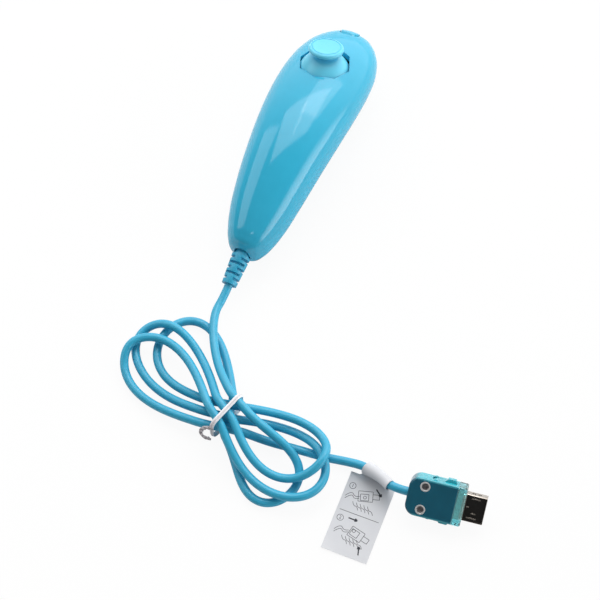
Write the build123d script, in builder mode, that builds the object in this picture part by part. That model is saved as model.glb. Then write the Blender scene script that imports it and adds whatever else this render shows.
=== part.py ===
from build123d import *
from math import cos, pi, radians, sin, sqrt, tan
import os

# A motion controller wand lying on a table, with its corded plug, in millimetres.
# +Z is up, +Y runs to the wand's nose, and the origin is under the middle of the wand's box.

# Wand body
body_length = 113.0
body_width = 38.2
body_height = 32.7
wall = 2.2
wand_roll_deg = 6.2
upper_fullness_share = 0.61
lower_fullness_share = 0.56
cut_overrun = 20.0
fit_gap = 0.3
running_gap = 0.05

# Middle of the wand's box in the cord's layout, the body's place there, and the dip of its curve
layout_x = -0.005
layout_y = -7.7
wand_back = 0.9
curve_dip = 0.01

# Outline of the body, tail to nose: stations and their half width, top, underside and parting line
station_shares = (
    0, 0.012, 0.036, 0.075, 0.137, 0.243, 0.394, 0.553,
    0.677, 0.783, 0.872, 0.938, 0.978, 0.995, 1,
)
width_shares = (
    0.18, 0.31, 0.425, 0.53, 0.64, 0.755, 0.871, 0.964,
    1, 0.99, 0.912, 0.75, 0.555, 0.4, 0.26,
)
top_shares = (
    0.416, 0.504, 0.577, 0.651, 0.741, 0.86, 0.97, 1,
    0.96, 0.872, 0.762, 0.657, 0.572, 0.522, 0.498,
)
under_shares = (
    0.147, 0.078, 0.028, 0.002, 0.002, 0.06, 0.125, 0.109,
    0.041, 0.003, 0.009, 0.053, 0.135, 0.22, 0.262,
)
longest_span_share = 0.045
part_shares = (
    0.284, 0.268, 0.28, 0.306, 0.356, 0.436, 0.516, 0.551,
    0.536, 0.487, 0.434, 0.398, 0.376, 0.37, 0.374,
)

# Stick gate and stick
gate_from_nose = 25.3
gate_lean_deg = 23.0
gate_across = 20.4
gate_wall = 1.5
gate_depth = 2.0
pivot_depth = 8.0
dome_radius = 11.5
dome_clearance = 0.3
dome_wall = 1.2
dome_rim_deg = 80.0
flare_deg = 28.0
neck_radius = 3.2
neck_foot = 11.35
neck_top = 11.6
neck_flare_x_share = 0.8
neck_flare_z_share = 0.35
cap_radius = 7.4
cap_under = 12.4
cap_rim = 13.5
cap_top = 14.6
cap_round = 0.9
cap_groove_radius = 6.0
cap_dish = 0.5
socket_radius = 2.7
socket_bottom = 6.4
shaft_radius = 1.3
shaft_top = 9.8
shaft_foot = 4.1
foot_radius = 2.6
foot_height = 1.2
yoke_axle_radius = 1.2
yoke_half_x = 3.2
yoke_half_y = 3.0
yoke_half_z = 1.3
yoke_slot_y = 2.0
side_gap = 0.1
pivot_pin_radius = 0.6
arch_outer = 5.5
arch_inner = 4.3
arch_half_width = 2.3
arch_slot_x = 3.3
arch_slot_gap = 0.2
arch_disc_radius = 1.9
turret_half = 6.7
turret_wall = 0.9
turret_round = 3.0
turret_top = 2.6
base_half = 8.3
base_wall = 1.0
base_top = 3.6
base_bottom = 9.4
ledge = 0.6
cover_thickness = 0.6
cover_half_opening = 5.5
pot_radius = 3.2
pot_thickness = 1.6
pot_foot_width = 5.6
plate_radius = 6.8
plate_thickness = 0.8
plate_gap = 0.1
spring_radius = 4.2
spring_wire_radius = 0.25
spring_turns = 3

# Main board under the stick
board_width = 24.0
board_front = 13.0
board_rear = 22.0
board_thickness = 1.2
board_round = 2.5
post_radius = 2.6
post_x = 9.8
post_front = 10.6
post_rear = 18.0
screw_radius = 0.9
screw_head_radius = 1.8
screw_head_height = 1.3
screw_grip = 6.0
chip_size = 5.0
chip_height = 1.1
chip_y = 12.4
chip_row_pitch = 8.0
chip_width = 7.0
socket_size = 6.0
socket_height = 3.0

# Shell screws
shell_screw_from_tail = (19.5, 45.5)
boss_radius = 3.1
boss_bore_radius = 2.3
shell_screw_radius = 1.0
shell_head_radius = 2.0
shell_head_height = 1.4
shell_screw_grip = 7.0
shell_screw_land = 3.0
cross_width = 0.6
cross_depth = 0.7

# Buttons on the nose
button_proud = 0.4
c_gap = 0.35
z_gap = 0.5
c_width = 8.2
c_height = 4.6
c_centre_share = 0.52
c_back_from_nose = 6.2
c_flange = 0.8
c_flange_thickness = 1.0
c_stem_radius = 1.4
c_travel = 0.9
z_width = 12.6
z_height = 9.2
z_centre_share = 0.256
z_round = 2.6
z_back_from_nose = 5.3
z_wall = 1.3
z_pocket = 2.2
z_plunger_radius = 1.5
z_plunger_drop = 4.2
hinge_from_nose = 6.1
hinge_rise = 2.9
hinge_pin_radius = 0.8
knuckle_radius = 1.6
knuckle_gap = 0.25
ear_thickness = 1.2
ear_reach = 1.5
ear_height = 3.6
frame_from_nose = 9.3
frame_width = 24.0
frame_thickness = 1.4
frame_collar = 0.6
frame_peg_radius = 1.2
frame_peg_x = 6.6
frame_peg_z = 4.6
pad_from_nose = 12.3
pad_width = 17.0
pad_height = 14.0
pad_round = 2.5
pad_thickness = 1.0
dome_base = 2.2
dome_tip = 1.5
dome_height = 1.2
press_gap = 1.1
z_press_gap = 0.7
button_board_thickness = 1.2
button_board_width = 19.0
rib_thickness = 1.6
rib_window_width = 14.0
rib_window_height = 12.0

# Strain relief, cable clamp and cable inside the tail
relief_droop_deg = 12.0
relief_length = 13.6
relief_start = 0.9
relief_root_radius = 3.9
relief_tip_radius = 3.1
relief_neck_radius = 2.9
relief_flange_radius = 3.6
relief_flange_depth = 3.7
relief_flange_thickness = 1.4
relief_slots = 5
relief_rib = 1.15
relief_web = 2.6
cord_diameter = 3.4
inner_cable_radius = 1.6
clamp_from_tail = 9.5
clamp_width = 9.0
clamp_length = 3.0
clamp_cover = 0.9
cable_bend = 13.0
cable_points = ((6.4, -37.5, 12.4), (6.6, -29.0, 13.0), (5.2, -19.5, 15.2), (5.4, -10.5, 19.0))
cable_socket_x = 3.0
cable_socket_rise = 1.5
cable_run = 5.5
rib_drop = 0.4

# Cord on the table: free stretches by hand-picked points
cord_end_run = 6.4
cord_lead_points = ((0.9, -83.2, 5.5), (3.4, -90.6, 6.2), (7.3, -97.8, 6.6), (11.6, -103.9, 7.4))
cord_lead_end = (16.2, -109.2, 9.2)
cord_tail_start = (44.0, -124.5, 2.3)
cord_tail_points = (
    (51.3, -123.3, 1.85),
    (58.8, -122.3, 1.8),
    (66.2, -121.4, 1.8),
    (73.8, -119.8, 2.2),
    (81.2, -119.1, 3.5),
    (88.4, -121.2, 5.5),
)
tail_entry = (32.0, -126.2, 5.5)
lead_exit = (23.0, -115.4, 10.8)
straight_share = 1.05

# Hank: six teardrop loops about the tie, alternately to the plug's side and back
tie_point = (24.9, -121.6)
hank_angle_deg = -16.5
loop_starts = ((2.1, 4.6), (-3.4, 6.4), (2.3, 5.3), (-6.4, 0.4), (3.7, 0.0), (-6.9, -4.1))
loop_ends = ((2.2, -6.2), (-10.8, -1.0), (3.1, -1.6), (-6.4, -4.9), (1.0, -6.2), (-4.4, -9.4))
loop_reaches = (34.5, 36.6, 37.5, 42.8, 41.5, 44.6)
loop_angles_deg = (-14.9, 159.8, 6.1, 170.0, 4.0, 175.0)
loop_widths = (8.1, -10.6, 10.6, -9.9, 12.0, -9.9)
loop_squares = (-3.0, -2.0, -1.5, -2.4, -2.6, 0.4)
loop_bulges = (-0.2, 1.4, -1.3, 0.4, 0.1, -0.2)
loop_twists = (-2.5, 0.4, -0.1, 0.2, -0.1, -0.9)
loop_heights = (
    (11.1, 9.3, 5.0, 2.0, 2.1, 2.0, 2.15),
    (2.15, 2.1, 2.0, 2.0, 2.3, 2.5, 4.8),
    (6.8, 7.0, 7.6, 11.1, 6.9, 7.7, 10.6),
    (10.3, 5.8, 7.0, 2.5, 2.2, 2.4, 6.4),
    (6.0, 3.0, 6.0, 6.4, 6.0, 6.0, 10.5),
    (10.9, 7.4, 6.9, 5.8, 2.7, 2.8, 5.8),
)

# Twist tie
tie_width = 2.6
tie_thickness = 0.4
tie_left = -10.3
tie_right = 7.8
tie_top = 13.4
tie_round = 3.2
tie_twist_radius = 0.8
tie_twist_points = (
    (0.4, -10.1, 10.3),
    (-1.9, -11.7, 10.2),
    (-2.3, -13.6, 9.2),
    (-0.3, -14.1, 8.3),
    (1.8, -13.1, 7.8),
)

# Plug
plug_rear = (100.9, -123.4, 7.65)
plug_heading_deg = 9.1
plug_roll_deg = 38.0
plug_length = 22.0
plug_width = 15.4
plug_height = 8.2
plug_wall = 1.2
plug_rear_round = 4.2
plug_front_round = 0.8
plug_edge_round = 0.9
plug_core_grip = 5.0
plug_core_radius = 1.1
plug_screw_back = 6.1
plug_screw_side = 4.6
plug_screw_head = 1.45
plug_screw_recess = 0.15
plug_screw_height = 1.0
plug_screw_shank = 0.7
plug_cross_size = 1.9
plug_boss_radius = 2.0
connector_length = 8.0
connector_inside = 5.0
connector_width = 10.8
connector_height = 5.0
connector_skin = 0.35
connector_round = 0.8
insert_slot_width = 8.2
insert_slot_height = 1.5
insert_slot_depth = 5.5
contact_count = 3
contact_length = 3.4
contact_width = 0.5
contact_proud = 0.15
contact_pitch = 2.4
latch_gap = 0.2
latch_end = 18.4
latch_height = 2.6
latch_thickness = 1.1
latch_button_start = 12.8
latch_button_end = 17.6
latch_proud = 1.2
latch_knuckle_radius = 1.1
latch_pin_radius = 0.5
latch_pin_reach = 1.2
latch_hinge_back = 9.4
latch_hinge_in = 1.3
latch_boss_radius = 1.6
plug_board_start = 8.4
plug_board_width = 8.0
plug_board_thickness = 1.0
plug_chip = 3.0
plug_chip_height = 0.9
window_band = 1.0
window_lip = 1.1

# Paper tag folded round the cord
tag_width = 18.4
tag_length = 33.2
tag_thickness = 0.3
tag_corner = (77.1, -121.9)
tag_turn_deg = 2.75
tab_from_corner = 3.2
sleeve_length = 12.6
sleeve_share = 0.76
sleeve_gap = 0.12


def lerp(a, b, share):
    """The value a share of the way from a to b."""
    return a + (b - a) * share


def on_table(x, y, z):
    """A point given from under the middle of the wand, in the layout's frame."""
    return Vector(x - layout_x, y - layout_y, z)


def slope_at(shares, i):
    """The slope of a smooth curve through the stations, at station i."""
    rises = [
        (shares[k + 1] - shares[k]) / (station_shares[k + 1] - station_shares[k])
        for k in (i - 1, i)
        if 0 <= k < len(shares) - 1
    ]
    if len(rises) == 1:
        return rises[0]
    back = station_shares[i] - station_shares[i - 1]
    ahead = station_shares[i + 1] - station_shares[i]
    return (rises[0] * ahead + rises[1] * back) / (back + ahead)


def at_station(shares, y):
    """The share at a distance y along the wand, on a smooth curve through the stations."""
    place = min(max((y + body_length / 2) / body_length, 0), 1)
    i = max(k for k in range(len(station_shares) - 1) if station_shares[k] <= place or k == 0)
    span = station_shares[i + 1] - station_shares[i]
    u = (place - station_shares[i]) / span
    start = (1 + 2 * u) * (1 - u) ** 2 * shares[i] + u * (1 - u) ** 2 * span * slope_at(shares, i)
    end = u ** 2 * (3 - 2 * u) * shares[i + 1] + u ** 2 * (u - 1) * span * slope_at(shares, i + 1)
    return start + end


def top_at(y):
    return body_height * at_station(top_shares, y)


def under_at(y):
    return body_height * at_station(under_shares, y)


def seam_at(y):
    return body_height * at_station(part_shares, y)


def half_width_at(y):
    return body_width / 2 * at_station(width_shares, y)


def bezier_points(width, height, fullness, count=24):
    """Points on a quarter outline from the widest point to the crown."""
    pts = []
    for i in range(count + 1):
        u = i / count
        x = width * ((1 - u) ** 3 + 3 * (1 - u) ** 2 * u + 3 * (1 - u) * u ** 2 * fullness)
        z = height * (3 * (1 - u) ** 2 * u * fullness + 3 * (1 - u) * u ** 2 + u ** 3)
        pts.append((x, z))
    return pts


def section_places():
    """The stations, with one more in the middle of each long span."""
    places = [station_shares[0]]
    for a, b in zip(station_shares, station_shares[1:]):
        if b - a > longest_span_share:
            places.append((a + b) / 2)
        places.append(b)
    return places


def rolled_extents():
    """Lowest point and left and right ends of the body once it is rolled."""
    c, s = cos(radians(wand_roll_deg)), sin(radians(wand_roll_deg))
    xs, zs = [], []
    for place in section_places():
        y = (place - 0.5) * body_length
        seam = seam_at(y)
        upper = bezier_points(half_width_at(y), top_at(y) - seam, upper_fullness_share)
        lower = bezier_points(half_width_at(y), seam - under_at(y), lower_fullness_share)
        outline = [(x, seam + z) for x, z in upper] + [(x, seam - z) for x, z in lower]
        for x, z in outline:
            for side in (1, -1):
                xs.append(side * x * c - z * s)
                zs.append(side * x * s + z * c)
    return min(xs), max(xs), min(zs)


# The wand's own frame, rolled a little to its left as it rests
roll = radians(wand_roll_deg)
left, right, low = rolled_extents()
wand = Plane(
    origin=on_table(-(left + right) / 2, -wand_back, curve_dip - low),
    x_dir=(cos(roll), 0, sin(roll)),
    z_dir=(-sin(roll), 0, cos(roll)),
)


def wand_point(x, y, z):
    return wand.from_local_coords(Vector(x, y, z))


def cross_plane(y):
    """Across the wand, seen from the tail: local x to its right, local y up."""
    return Plane(wand_point(0, y, 0), x_dir=wand.x_dir, z_dir=-wand.y_dir)


def nose_plane(y):
    """Across the wand, facing forwards: extrusions run to the nose."""
    return Plane(wand_point(0, y, 0), x_dir=-wand.x_dir, z_dir=wand.y_dir)


def side_plane(x):
    """Along the wand: local x to the nose, local y up, facing right."""
    return Plane(wand_point(x, 0, 0), x_dir=wand.y_dir, z_dir=wand.x_dir)


def level_plane(z):
    return Plane(wand_point(0, 0, z), x_dir=wand.x_dir, z_dir=wand.z_dir)


def body_form(inset):
    """The body's smooth form, drawn in by an inset all round."""
    with BuildPart() as form:
        for place in section_places():
            y = (place - 0.5) * body_length
            seam = seam_at(y)
            w = half_width_at(y) - inset * at_station(width_shares, y) ** 0.5
            up = top_at(y) - seam - inset * at_station(width_shares, y) ** 0.25
            down = seam - under_at(y) - inset * at_station(width_shares, y) ** 0.25
            a, b = upper_fullness_share, lower_fullness_share
            with BuildSketch(cross_plane(y * (body_length - 2 * inset) / body_length)):
                with BuildLine():
                    Bezier((w, seam), (w, seam + a * up), (a * w, seam + up), (0, seam + up))
                    Bezier((0, seam + up), (-a * w, seam + up), (-w, seam + a * up), (-w, seam))
                    Bezier((-w, seam), (-w, seam - b * down), (-b * w, seam - down), (0, seam - down))
                    Bezier((0, seam - down), (b * w, seam - down), (w, seam - b * down), (w, seam))
                make_face()
        loft()
    return form.part


outer_form = body_form(0)
cavity_form = body_form(wall)
seat_form = body_form(wall + fit_gap)
proud_form = body_form(-button_proud)

nose_y = body_length / 2
tail_y = -body_length / 2

# Space above the parting surface, which divides the two shells
with BuildPart() as upper_space:
    with BuildSketch(side_plane(0)):
        with BuildLine():
            ys = [(place - 0.5) * body_length for place in section_places()]
            seam_line = [(y, seam_at(y)) for y in ys]
            first = (tail_y - cut_overrun, seam_line[0][1])
            last = (nose_y + cut_overrun, seam_line[-1][1])
            Line(first, seam_line[0])
            Spline(*seam_line)
            Line(seam_line[-1], last)
            ceiling = body_height + cut_overrun
            Polyline(last, (last[0], ceiling), (first[0], ceiling), first)
        make_face()
    extrude(amount=body_width, both=True)

# Frame of the stick: origin at its pivot, z along the stick, y forwards
gate_y = nose_y - gate_from_nose
lean = radians(gate_lean_deg)
stick_dir = wand.y_dir * sin(lean) + wand.z_dir * cos(lean)
gate_centre = wand_point(0, gate_y, top_at(gate_y))
stick = Plane(gate_centre - stick_dir * pivot_depth, x_dir=wand.x_dir, z_dir=stick_dir)
stick_side = Plane(stick.origin, x_dir=stick.x_dir, z_dir=-stick.y_dir)
stick_front = Plane(stick.origin, x_dir=-stick.x_dir, z_dir=stick.y_dir)
stick_right = Plane(stick.origin, x_dir=stick.y_dir, z_dir=stick.x_dir)
stick_left = Plane(stick.origin, x_dir=-stick.y_dir, z_dir=-stick.x_dir)
gate_plane = stick.offset(pivot_depth)

# Octagonal collar under the gate
with BuildPart() as gate_collar:
    with BuildSketch(gate_plane.offset(-gate_depth)):
        RegularPolygon(gate_across / 2 + gate_wall, 8, major_radius=False)
    extrude(amount=gate_depth + cut_overrun)
    add(outer_form, mode=Mode.INTERSECT)

# Posts that carry the main board
post_spots = [(sx * post_x, y) for sx in (1, -1) for y in (post_front, -post_rear)]
with BuildPart() as board_posts:
    with BuildSketch(stick.offset(-base_bottom)):
        with Locations(*post_spots):
            Circle(post_radius)
    extrude(amount=base_bottom + pivot_depth + cut_overrun)
    add(outer_form, mode=Mode.INTERSECT)

# Posts and bosses of the shell screws
screw_ys = [tail_y + d for d in shell_screw_from_tail]


def shell_posts(radius, upward):
    """Posts from the parting line to the upper or the lower shell."""
    with BuildPart() as posts:
        for y in screw_ys:
            with BuildSketch(level_plane(seam_at(y))):
                with Locations((0, y)):
                    Circle(radius)
            extrude(amount=body_height if upward else -body_height)
        add(outer_form, mode=Mode.INTERSECT)
    return posts.part


# Rib behind the button board
stack_y = nose_y - frame_from_nose
pad_y = nose_y - pad_from_nose
dome_top_y = pad_y + pad_thickness + dome_height
button_board_y = pad_y - button_board_thickness
stack_z = body_height * (c_centre_share + z_centre_share) / 2
with BuildPart() as nose_rib:
    with BuildSketch(nose_plane(button_board_y - rib_thickness)):
        with Locations((0, stack_z)):
            Rectangle(body_width, 2 * body_height)
            Rectangle(rib_window_width, rib_window_height, mode=Mode.SUBTRACT)
    extrude(amount=rib_thickness)
    add(cavity_form, mode=Mode.INTERSECT)

# Cross rib in the tail, under the cable clamp
relief_z = (top_at(tail_y) + under_at(tail_y)) / 2
clamp_y = tail_y + clamp_from_tail
clamp_z = relief_z + clamp_from_tail * tan(radians(relief_droop_deg))
with BuildPart() as tail_rib:
    with BuildSketch(nose_plane(clamp_y - clamp_length / 2)):
        with Locations((0, clamp_z - inner_cable_radius - rib_drop - cut_overrun / 2)):
            Rectangle(body_width, cut_overrun)
    extrude(amount=clamp_length)
    add(cavity_form, mode=Mode.INTERSECT)

c_z = body_height * c_centre_share
z_z = body_height * z_centre_share


def nose_openings():
    """The openings of the two buttons, from inside the nose outwards."""
    with BuildPart() as openings:
        with BuildSketch(nose_plane(stack_y + frame_thickness)):
            with Locations((0, c_z)):
                SlotOverall(c_width + 2 * c_gap, c_height + 2 * c_gap)
            with Locations((0, z_z)):
                RectangleRounded(z_width + 2 * z_gap, z_height + 2 * z_gap, z_round)
        extrude(amount=cut_overrun)
    return openings.part


# Frame of the strain relief: origin at the tail's end, z outwards and down
droop = radians(relief_droop_deg)
relief = Plane(
    wand_point(0, tail_y, relief_z),
    x_dir=wand.x_dir,
    z_dir=-wand.y_dir * cos(droop) - wand.z_dir * sin(droop),
)

with BuildPart() as relief_hole:
    with BuildSketch(relief.offset(-relief_flange_depth)):
        Circle(relief_neck_radius)
    extrude(amount=cut_overrun)

# Upper shell
with BuildPart() as upper_shell:
    add(outer_form)
    add(cavity_form, mode=Mode.SUBTRACT)
    add(gate_collar.part)
    add(board_posts.part)
    add(shell_posts(boss_radius, True))
    add(nose_rib.part)
    add(upper_space.part, mode=Mode.INTERSECT)
    with BuildSketch(stick):
        RegularPolygon(gate_across / 2, 8, major_radius=False)
    extrude(amount=cut_overrun, mode=Mode.SUBTRACT)
    with Locations(stick):
        Sphere(dome_radius + dome_clearance, mode=Mode.SUBTRACT)
    with BuildSketch(stick.offset(-base_bottom)):
        with Locations(*post_spots):
            Circle(screw_radius)
    extrude(amount=screw_grip, mode=Mode.SUBTRACT)
    for y in screw_ys:
        with BuildSketch(level_plane(seam_at(y))):
            with Locations((0, y)):
                Circle(shell_screw_radius)
        extrude(amount=shell_screw_grip, mode=Mode.SUBTRACT)
    add(nose_openings(), mode=Mode.SUBTRACT)
    add(relief_hole.part, mode=Mode.SUBTRACT)
upper_shell.part.label = "upper_shell"

# Lower shell
with BuildPart() as lower_shell:
    add(outer_form)
    add(cavity_form, mode=Mode.SUBTRACT)
    add(shell_posts(boss_radius, False))
    add(nose_rib.part)
    add(tail_rib.part)
    add(upper_space.part, mode=Mode.SUBTRACT)
    for y in screw_ys:
        head_z = seam_at(y) - shell_screw_land
        with BuildSketch(level_plane(head_z)):
            with Locations((0, y)):
                Circle(boss_bore_radius)
        extrude(amount=-body_height, mode=Mode.SUBTRACT)
        with BuildSketch(level_plane(head_z)):
            with Locations((0, y)):
                Circle(shell_screw_radius + running_gap)
        extrude(amount=shell_screw_land, mode=Mode.SUBTRACT)
    add(nose_openings(), mode=Mode.SUBTRACT)
    add(relief_hole.part, mode=Mode.SUBTRACT)
lower_shell.part.label = "lower_shell"


def cross_recess(size):
    """The cross of a screw's head, in the current sketch."""
    Rectangle(size, cross_width)
    Rectangle(cross_width, size)


# Two screws that hold the shells together, driven from below
with BuildPart() as shell_screws:
    for y in screw_ys:
        head_z = seam_at(y) - shell_screw_land
        with BuildSketch(level_plane(head_z)):
            with Locations((0, y)):
                Circle(shell_head_radius)
        extrude(amount=-shell_head_height)
        with BuildSketch(level_plane(head_z)):
            with Locations((0, y)):
                Circle(shell_screw_radius)
        extrude(amount=shell_screw_land + shell_screw_grip)
        with BuildSketch(level_plane(head_z - shell_head_height)):
            with Locations((0, y)):
                cross_recess(shell_head_radius)
        extrude(amount=cross_depth, mode=Mode.SUBTRACT)
shell_screws.part.label = "shell_screws"

# Stick cap: thumb disc, neck and the dome that fills the gate, turned in one profile
rim = radians(dome_rim_deg)
flare = radians(flare_deg)
inner_dome = dome_radius - dome_wall
inner_edge = sqrt(inner_dome ** 2 - socket_radius ** 2)
with BuildPart() as stick_cap:
    with BuildSketch(stick_side):
        with BuildLine():
            rim_out = (dome_radius * sin(rim), dome_radius * cos(rim))
            rim_in = (inner_dome * sin(rim), inner_dome * cos(rim))
            flare_point = (dome_radius * sin(flare), dome_radius * cos(flare))
            mid_out = (dome_radius * sin((rim + flare) / 2), dome_radius * cos((rim + flare) / 2))
            mid_in = (inner_dome * sin(rim / 2), inner_dome * cos(rim / 2))
            ThreePointArc(rim_out, mid_out, flare_point)
            Bezier(
                flare_point,
                (
                    lerp(flare_point[0], neck_radius, neck_flare_x_share),
                    lerp(flare_point[1], neck_foot, neck_flare_z_share),
                ),
                (neck_radius, neck_foot),
            )
            Line((neck_radius, neck_foot), (neck_radius, neck_top))
            Bezier((neck_radius, neck_top), (neck_radius, cap_under), (cap_radius - cap_round, cap_under))
            Bezier((cap_radius - cap_round, cap_under), (cap_radius, cap_under), (cap_radius, cap_rim))
            Bezier((cap_radius, cap_rim), (cap_radius, cap_top), (cap_radius - cap_round, cap_top))
            groove = (cap_groove_radius, cap_top - cap_dish)
            Line((cap_radius - cap_round, cap_top), groove)
            Bezier(groove, (cap_groove_radius / 2, cap_top - cap_dish / 2), (0, cap_top - cap_dish / 2))
            Polyline(
                (0, cap_top - cap_dish / 2),
                (0, shaft_top + fit_gap),
                (shaft_radius + running_gap / 2, shaft_top + fit_gap),
                (shaft_radius + running_gap / 2, socket_bottom),
                (socket_radius, socket_bottom),
                (socket_radius, inner_edge),
            )
            ThreePointArc((socket_radius, inner_edge), mid_in, rim_in)
            Line(rim_in, rim_out)
        make_face()
    revolve(axis=Axis(stick.origin, stick.z_dir))
stick_cap.part.label = "stick_cap"

# Stick shaft with its round foot and the cross bore of its pivot pin
with BuildPart() as stick_shaft:
    with BuildSketch(stick_side):
        with BuildLine():
            foot_edge = (foot_radius, -sqrt(shaft_foot ** 2 - foot_radius ** 2))
            foot_mid = (foot_radius / 2, -sqrt(shaft_foot ** 2 - (foot_radius / 2) ** 2))
            Polyline((0, shaft_top), (shaft_radius, shaft_top), (shaft_radius, foot_height - shaft_foot))
            Polyline(
                (shaft_radius, foot_height - shaft_foot),
                (foot_radius, foot_height - shaft_foot),
                foot_edge,
            )
            ThreePointArc(foot_edge, foot_mid, (0, -shaft_foot))
            Line((0, -shaft_foot), (0, shaft_top))
        make_face()
    revolve(axis=Axis(stick.origin, stick.z_dir))
    with BuildSketch(stick_right):
        Circle(pivot_pin_radius + running_gap)
    extrude(amount=cut_overrun, both=True, mode=Mode.SUBTRACT)
stick_shaft.part.label = "stick_shaft"

# Roll yoke: a small frame that turns on a fore-and-aft axle and carries the stick's pin
pot_outer = turret_half + pot_thickness
with BuildPart() as roll_yoke:
    with BuildSketch(stick.offset(-yoke_half_z)):
        Rectangle(2 * yoke_half_x, 2 * yoke_half_y)
        Rectangle(2 * (shaft_radius + side_gap), 2 * yoke_slot_y, mode=Mode.SUBTRACT)
    extrude(amount=2 * yoke_half_z)
    for facing, reach in ((stick_front, pot_outer - side_gap), (stick_side, turret_half)):
        with BuildSketch(facing.offset(yoke_half_y)):
            Circle(yoke_axle_radius)
        extrude(amount=reach - yoke_half_y)
    with BuildSketch(stick_right):
        Circle(pivot_pin_radius)
    extrude(amount=yoke_half_x, both=True, mode=Mode.SUBTRACT)
roll_yoke.part.label = "roll_yoke"

with BuildPart() as stick_pin:
    with BuildSketch(stick_right):
        Circle(pivot_pin_radius)
    extrude(amount=yoke_half_x, both=True)
stick_pin.part.label = "stick_pin"

# Pitch yoke: a slotted arch over the roll yoke, on a crosswise axle
with BuildPart() as pitch_yoke:
    with BuildSketch(stick_side):
        Circle(arch_outer)
        Circle(arch_inner, mode=Mode.SUBTRACT)
        with Locations((0, -arch_outer)):
            Rectangle(2 * arch_outer, 2 * arch_outer, mode=Mode.SUBTRACT)
    extrude(amount=arch_half_width, both=True)
    for facing, reach in ((stick_right, pot_outer - side_gap), (stick_left, turret_half)):
        with BuildSketch(facing.offset(arch_inner)):
            Circle(arch_disc_radius)
        extrude(amount=arch_outer - arch_inner)
        with BuildSketch(facing.offset(arch_inner)):
            Circle(yoke_axle_radius)
        extrude(amount=reach - arch_inner)
    with BuildSketch(stick.offset(yoke_half_z)):
        Rectangle(2 * arch_slot_x, 2 * (shaft_radius + arch_slot_gap))
    extrude(amount=arch_outer, mode=Mode.SUBTRACT)
pitch_yoke.part.label = "pitch_yoke"

# Stick base: a box with a turret, whose open notches are the yokes' bearings
with BuildPart() as stick_base:
    with BuildSketch(stick.offset(-base_bottom)):
        Rectangle(2 * base_half, 2 * base_half)
    extrude(amount=base_bottom - base_top)
    with BuildSketch(stick.offset(-base_top)):
        RectangleRounded(2 * turret_half, 2 * turret_half, turret_round)
    extrude(amount=base_top + turret_top)
    inner_half = base_half - base_wall
    with BuildSketch(stick.offset(base_wall - base_bottom)):
        Rectangle(2 * inner_half, 2 * inner_half)
    extrude(amount=base_bottom - base_wall - base_top - ledge, mode=Mode.SUBTRACT)
    turret_inner = turret_half - turret_wall
    with BuildSketch(stick.offset(-base_top - ledge)):
        RectangleRounded(2 * turret_inner, 2 * turret_inner, turret_round - turret_wall)
    extrude(amount=ledge + base_top + turret_top, mode=Mode.SUBTRACT)
    notch = yoke_axle_radius + running_gap
    for facing in (stick_side, stick_right):
        with BuildSketch(facing):
            Circle(notch)
            with Locations((0, turret_top / 2)):
                Rectangle(2 * notch, turret_top)
        extrude(amount=turret_half, both=True, mode=Mode.SUBTRACT)
stick_base.part.label = "stick_base"

# Cover ring with four lugs that close the bearings
with BuildPart() as stick_cover:
    with BuildSketch(stick.offset(turret_top)):
        RectangleRounded(2 * turret_half, 2 * turret_half, turret_round)
        RectangleRounded(
            2 * cover_half_opening,
            2 * cover_half_opening,
            turret_round - turret_wall,
            mode=Mode.SUBTRACT,
        )
    extrude(amount=cover_thickness)
    lug_height = turret_top - yoke_axle_radius - side_gap
    lug_spot = turret_half - turret_wall / 2
    with BuildSketch(stick.offset(turret_top)):
        with Locations((lug_spot, 0), (-lug_spot, 0)):
            Rectangle(turret_wall, 2 * yoke_axle_radius)
        with Locations((0, lug_spot), (0, -lug_spot)):
            Rectangle(2 * yoke_axle_radius, turret_wall)
    extrude(amount=-lug_height)
stick_cover.part.label = "stick_cover"


def potentiometer(facing):
    """A round potentiometer on the turret's wall, standing on the base's shoulder."""
    with BuildPart() as pot:
        with BuildSketch(facing.offset(turret_half)):
            Circle(pot_radius)
            with Locations((0, -base_top / 2)):
                Rectangle(pot_foot_width, base_top)
            Circle(yoke_axle_radius + running_gap, mode=Mode.SUBTRACT)
        extrude(amount=pot_thickness)
    return pot


pitch_pot = potentiometer(stick_right)
pitch_pot.part.label = "pitch_pot"
roll_pot = potentiometer(stick_front)
roll_pot.part.label = "roll_pot"

# Plate that the spring holds against the stick's foot
plate_top = base_top + ledge + plate_gap
with BuildPart() as spring_plate:
    with BuildSketch(stick.offset(-plate_top - plate_thickness)):
        Circle(plate_radius)
    extrude(amount=plate_thickness)
spring_plate.part.label = "spring_plate"


def biarc(p0, t0, p1, t1):
    """Two tangent arcs from p0 along t0 to p1 along t1, in the current line."""
    v = p1 - p0
    t = t0 + t1
    a = 2 * (1 - t0.dot(t1))
    b = v.dot(t)
    d = (sqrt(b * b + a * v.dot(v)) - b) / a if a > 1e-9 else v.dot(v) / (2 * b)
    joint = (p0 + t0 * d + p1 - t1 * d) / 2
    TangentArc(p0, joint, tangent=t0)
    TangentArc(joint, p1, tangent=(joint - p0 - t0 * d).normalized())
    return joint


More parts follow.
